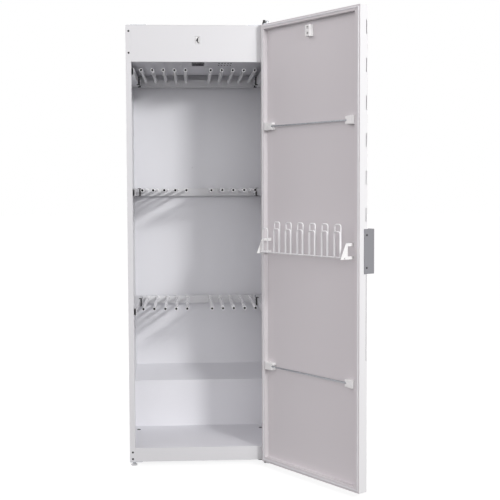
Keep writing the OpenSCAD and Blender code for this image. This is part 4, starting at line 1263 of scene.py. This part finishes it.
@dataclass
class Studio:
    """The pale floor, the soft light and the camera of the photograph."""

    eye: Point = (-32.47, -4280.0, 1169.0)
    yaw: float = 3.266  # degrees towards +X
    pitch: float = -3.454  # degrees, and negative looks down
    roll: float = -0.219  # degrees
    lens: float = 73.87
    sensor: float = 36.0
    key_place: Point = (2905.0, -4536.0, 2720.0)  # just clear of the plane of the open door
    key_aim: Point = (300.0, -300.0, 1200.0)
    key_watts: float = 163.0
    key_size: tuple[float, float] = (1300.0, 450.0)
    key_along: Point = (0.864, 0.0, 0.504)  # where its long side points
    fill_from: Point = (0.0, -0.985, 0.174)
    fill_strength: float = 0.606
    fill_soft: float = 40.0  # degrees across
    floor_reach: float = 40000.0
    floor_bounce: str = "#606060"  # what the floor sends back up at the object
    floor_shade: str = "#8c8c8c"  # what carries the object's shadow
    floor_glow: float = 0.84  # lifts the lit floor to the white of the background
    background: str = "#ffffff"
    soft_tint: str = "#fffafd"
    # Soft light from a side: its direction, and its strength there. It fades as the square of the cosine.
    sides: tuple[tuple[Point, float], ...] = (
        ((-1.0, 0.0, 0.0), 2.0),
        ((1.0, 0.0, 0.0), 0.6),
        ((0.0, -1.0, 0.0), 0.25),
        ((0.0, 1.0, 0.0), 1.15),
        ((0.0, 0.0, 1.0), 0.35),
    )

    def build(self) -> None:
        """Sets up the studio."""
        bpy.context.scene.view_settings.view_transform = "Standard"
        self.world()
        self.floor()
        self.key()
        self.fill()
        self.camera()

    @staticmethod
    def seen(tree: bpy.types.NodeTree) -> bpy.types.NodeSocket:
        """Tells rays that show the background, or its image in metal or glass, from those that light.

        Args:
            tree: The nodes of the world or of a material.

        Returns:
            1 for a ray that shows it, else 0.
        """
        path = add_node(tree, "ShaderNodeLightPath").outputs
        either = add_node(
            tree,
            "ShaderNodeMath",
            {0: path["Is Camera Ray"], 1: path["Is Glossy Ray"]},
            operation="MAXIMUM",
        )
        return add_node(
            tree,
            "ShaderNodeMath",
            {0: either.outputs[0], 1: path["Is Transmission Ray"]},
            operation="MAXIMUM",
        ).outputs[0]

    def world(self) -> None:
        """Soft light from the sides, most from the left, and a white background."""
        world = bpy.data.worlds.new("studio")
        world.use_nodes = True
        bpy.context.scene.world = world
        tree = world.node_tree
        tree.nodes.clear()
        way = add_node(tree, "ShaderNodeTexCoord").outputs["Generated"]
        total = None
        for direction, strength in self.sides:
            along = add_node(tree, "ShaderNodeVectorMath", {0: way, 1: direction}, operation="DOT_PRODUCT")
            cosine = along.outputs["Value"]
            facing = add_node(tree, "ShaderNodeMath", {0: cosine, 1: 0.0}, operation="MAXIMUM")
            faded = add_node(tree, "ShaderNodeMath", {0: facing.outputs[0], 1: 2.0}, operation="POWER")
            inputs = {0: faded.outputs[0], 1: strength, 2: total.outputs[0] if total else 0.0}
            total = add_node(tree, "ShaderNodeMath", inputs, operation="MULTIPLY_ADD")
        soft = add_node(
            tree, "ShaderNodeBackground", {"Color": linear(self.soft_tint), "Strength": total.outputs[0]}
        )
        white = add_node(tree, "ShaderNodeBackground", {"Color": linear(self.background), "Strength": 1.0})
        mix = add_node(
            tree, "ShaderNodeMixShader", {0: self.seen(tree), 1: soft.outputs[0], 2: white.outputs[0]}
        )
        add_node(tree, "ShaderNodeOutputWorld", {"Surface": mix.outputs[0]})

    def floor(self) -> None:
        """A pale floor that keeps the object's shadow and sends little light back up."""
        reach = self.floor_reach * METRE
        corners = [(-reach, -reach, 0), (reach, -reach, 0), (reach, reach, 0), (-reach, reach, 0)]
        mesh = bpy.data.meshes.new("studio_floor")
        mesh.from_pydata(corners, [], [(0, 1, 2, 3)])
        floor = bpy.data.objects.new("studio_floor", mesh)
        bpy.context.scene.collection.objects.link(floor)
        material = bpy.data.materials.new("studio_floor")
        material.use_nodes = True
        tree = material.node_tree
        tree.nodes.clear()
        bounce = add_node(tree, "ShaderNodeBsdfDiffuse", {"Color": linear(self.floor_bounce)})
        shaded = add_node(tree, "ShaderNodeBsdfDiffuse", {"Color": linear(self.floor_shade)})
        glow = {"Color": linear(self.background), "Strength": self.floor_glow}
        white = add_node(tree, "ShaderNodeEmission", glow)
        shown = add_node(tree, "ShaderNodeAddShader", {0: shaded.outputs[0], 1: white.outputs[0]})
        mix = add_node(
            tree, "ShaderNodeMixShader", {0: self.seen(tree), 1: bounce.outputs[0], 2: shown.outputs[0]}
        )
        add_node(tree, "ShaderNodeOutputMaterial", {"Surface": mix.outputs[0]})
        mesh.materials.append(material)

    def key(self) -> None:
        """The long lamp at the front right, which grazes the open door's panel.

        It is tilted along the plane of the tubes' shadows. So they stay crisp, and the shadows of
        upright edges are soft.
        """
        data = bpy.data.lights.new("key", "AREA")
        data.shape = "ELLIPSE"
        data.size, data.size_y = (size * METRE for size in self.key_size)
        data.energy = self.key_watts
        lamp = bpy.data.objects.new("key", data)
        place = Vector(self.key_place)
        away = (place - Vector(self.key_aim)).normalized()
        along = Vector(self.key_along)
        along = (along - away * along.dot(away)).normalized()
        turned = Matrix((along, away.cross(along), away)).transposed().to_4x4()
        lamp.matrix_world = Matrix.Translation(place * METRE) @ turned
        bpy.context.scene.collection.objects.link(lamp)

    def fill(self) -> None:
        """The wide, far lamp beside the camera."""
        data = bpy.data.lights.new("fill", "SUN")
        data.energy = self.fill_strength
        data.angle = math.radians(self.fill_soft)
        lamp = bpy.data.objects.new("fill", data)
        lamp.rotation_euler = Vector(self.fill_from).to_track_quat("Z", "Y").to_euler()
        bpy.context.scene.collection.objects.link(lamp)

    def camera(self) -> None:
        """The camera, where the photograph was taken from."""
        yaw, pitch, roll = (math.radians(a) for a in (self.yaw, self.pitch, self.roll))
        ahead = Vector((math.sin(yaw) * math.cos(pitch), math.cos(yaw) * math.cos(pitch), math.sin(pitch)))
        right = Vector((math.cos(yaw), -math.sin(yaw), 0.0))
        up = right.cross(ahead)
        across = right * math.cos(roll) + up * math.sin(roll)
        above = up * math.cos(roll) - right * math.sin(roll)
        data = bpy.data.cameras.new("photograph")
        data.lens = self.lens
        data.sensor_width = self.sensor
        data.sensor_fit = "HORIZONTAL"
        data.clip_end = 200.0
        camera = bpy.data.objects.new("photograph", data)
        turned = Matrix((across, above, -ahead)).transposed().to_4x4()
        camera.matrix_world = Matrix.Translation(Vector(self.eye) * METRE) @ turned
        bpy.context.scene.collection.objects.link(camera)
        bpy.context.scene.camera = camera


def main() -> None:
    """Builds the cabinet's looks."""
    logging.basicConfig(level=logging.INFO, format="%(message)s")
    sections = [HangingSection(level, height) for level, height in SECTION_HEIGHTS.items()]
    cabinet = (Casing(), Footing(), Hinges(), Services())
    for assembly in (Studio(), *cabinet, *sections, Door(), Handle(), Controls()):
        assembly.build()
        LOG.info("built %s", type(assembly).__name__)


if __name__ == "__main__":
    main()
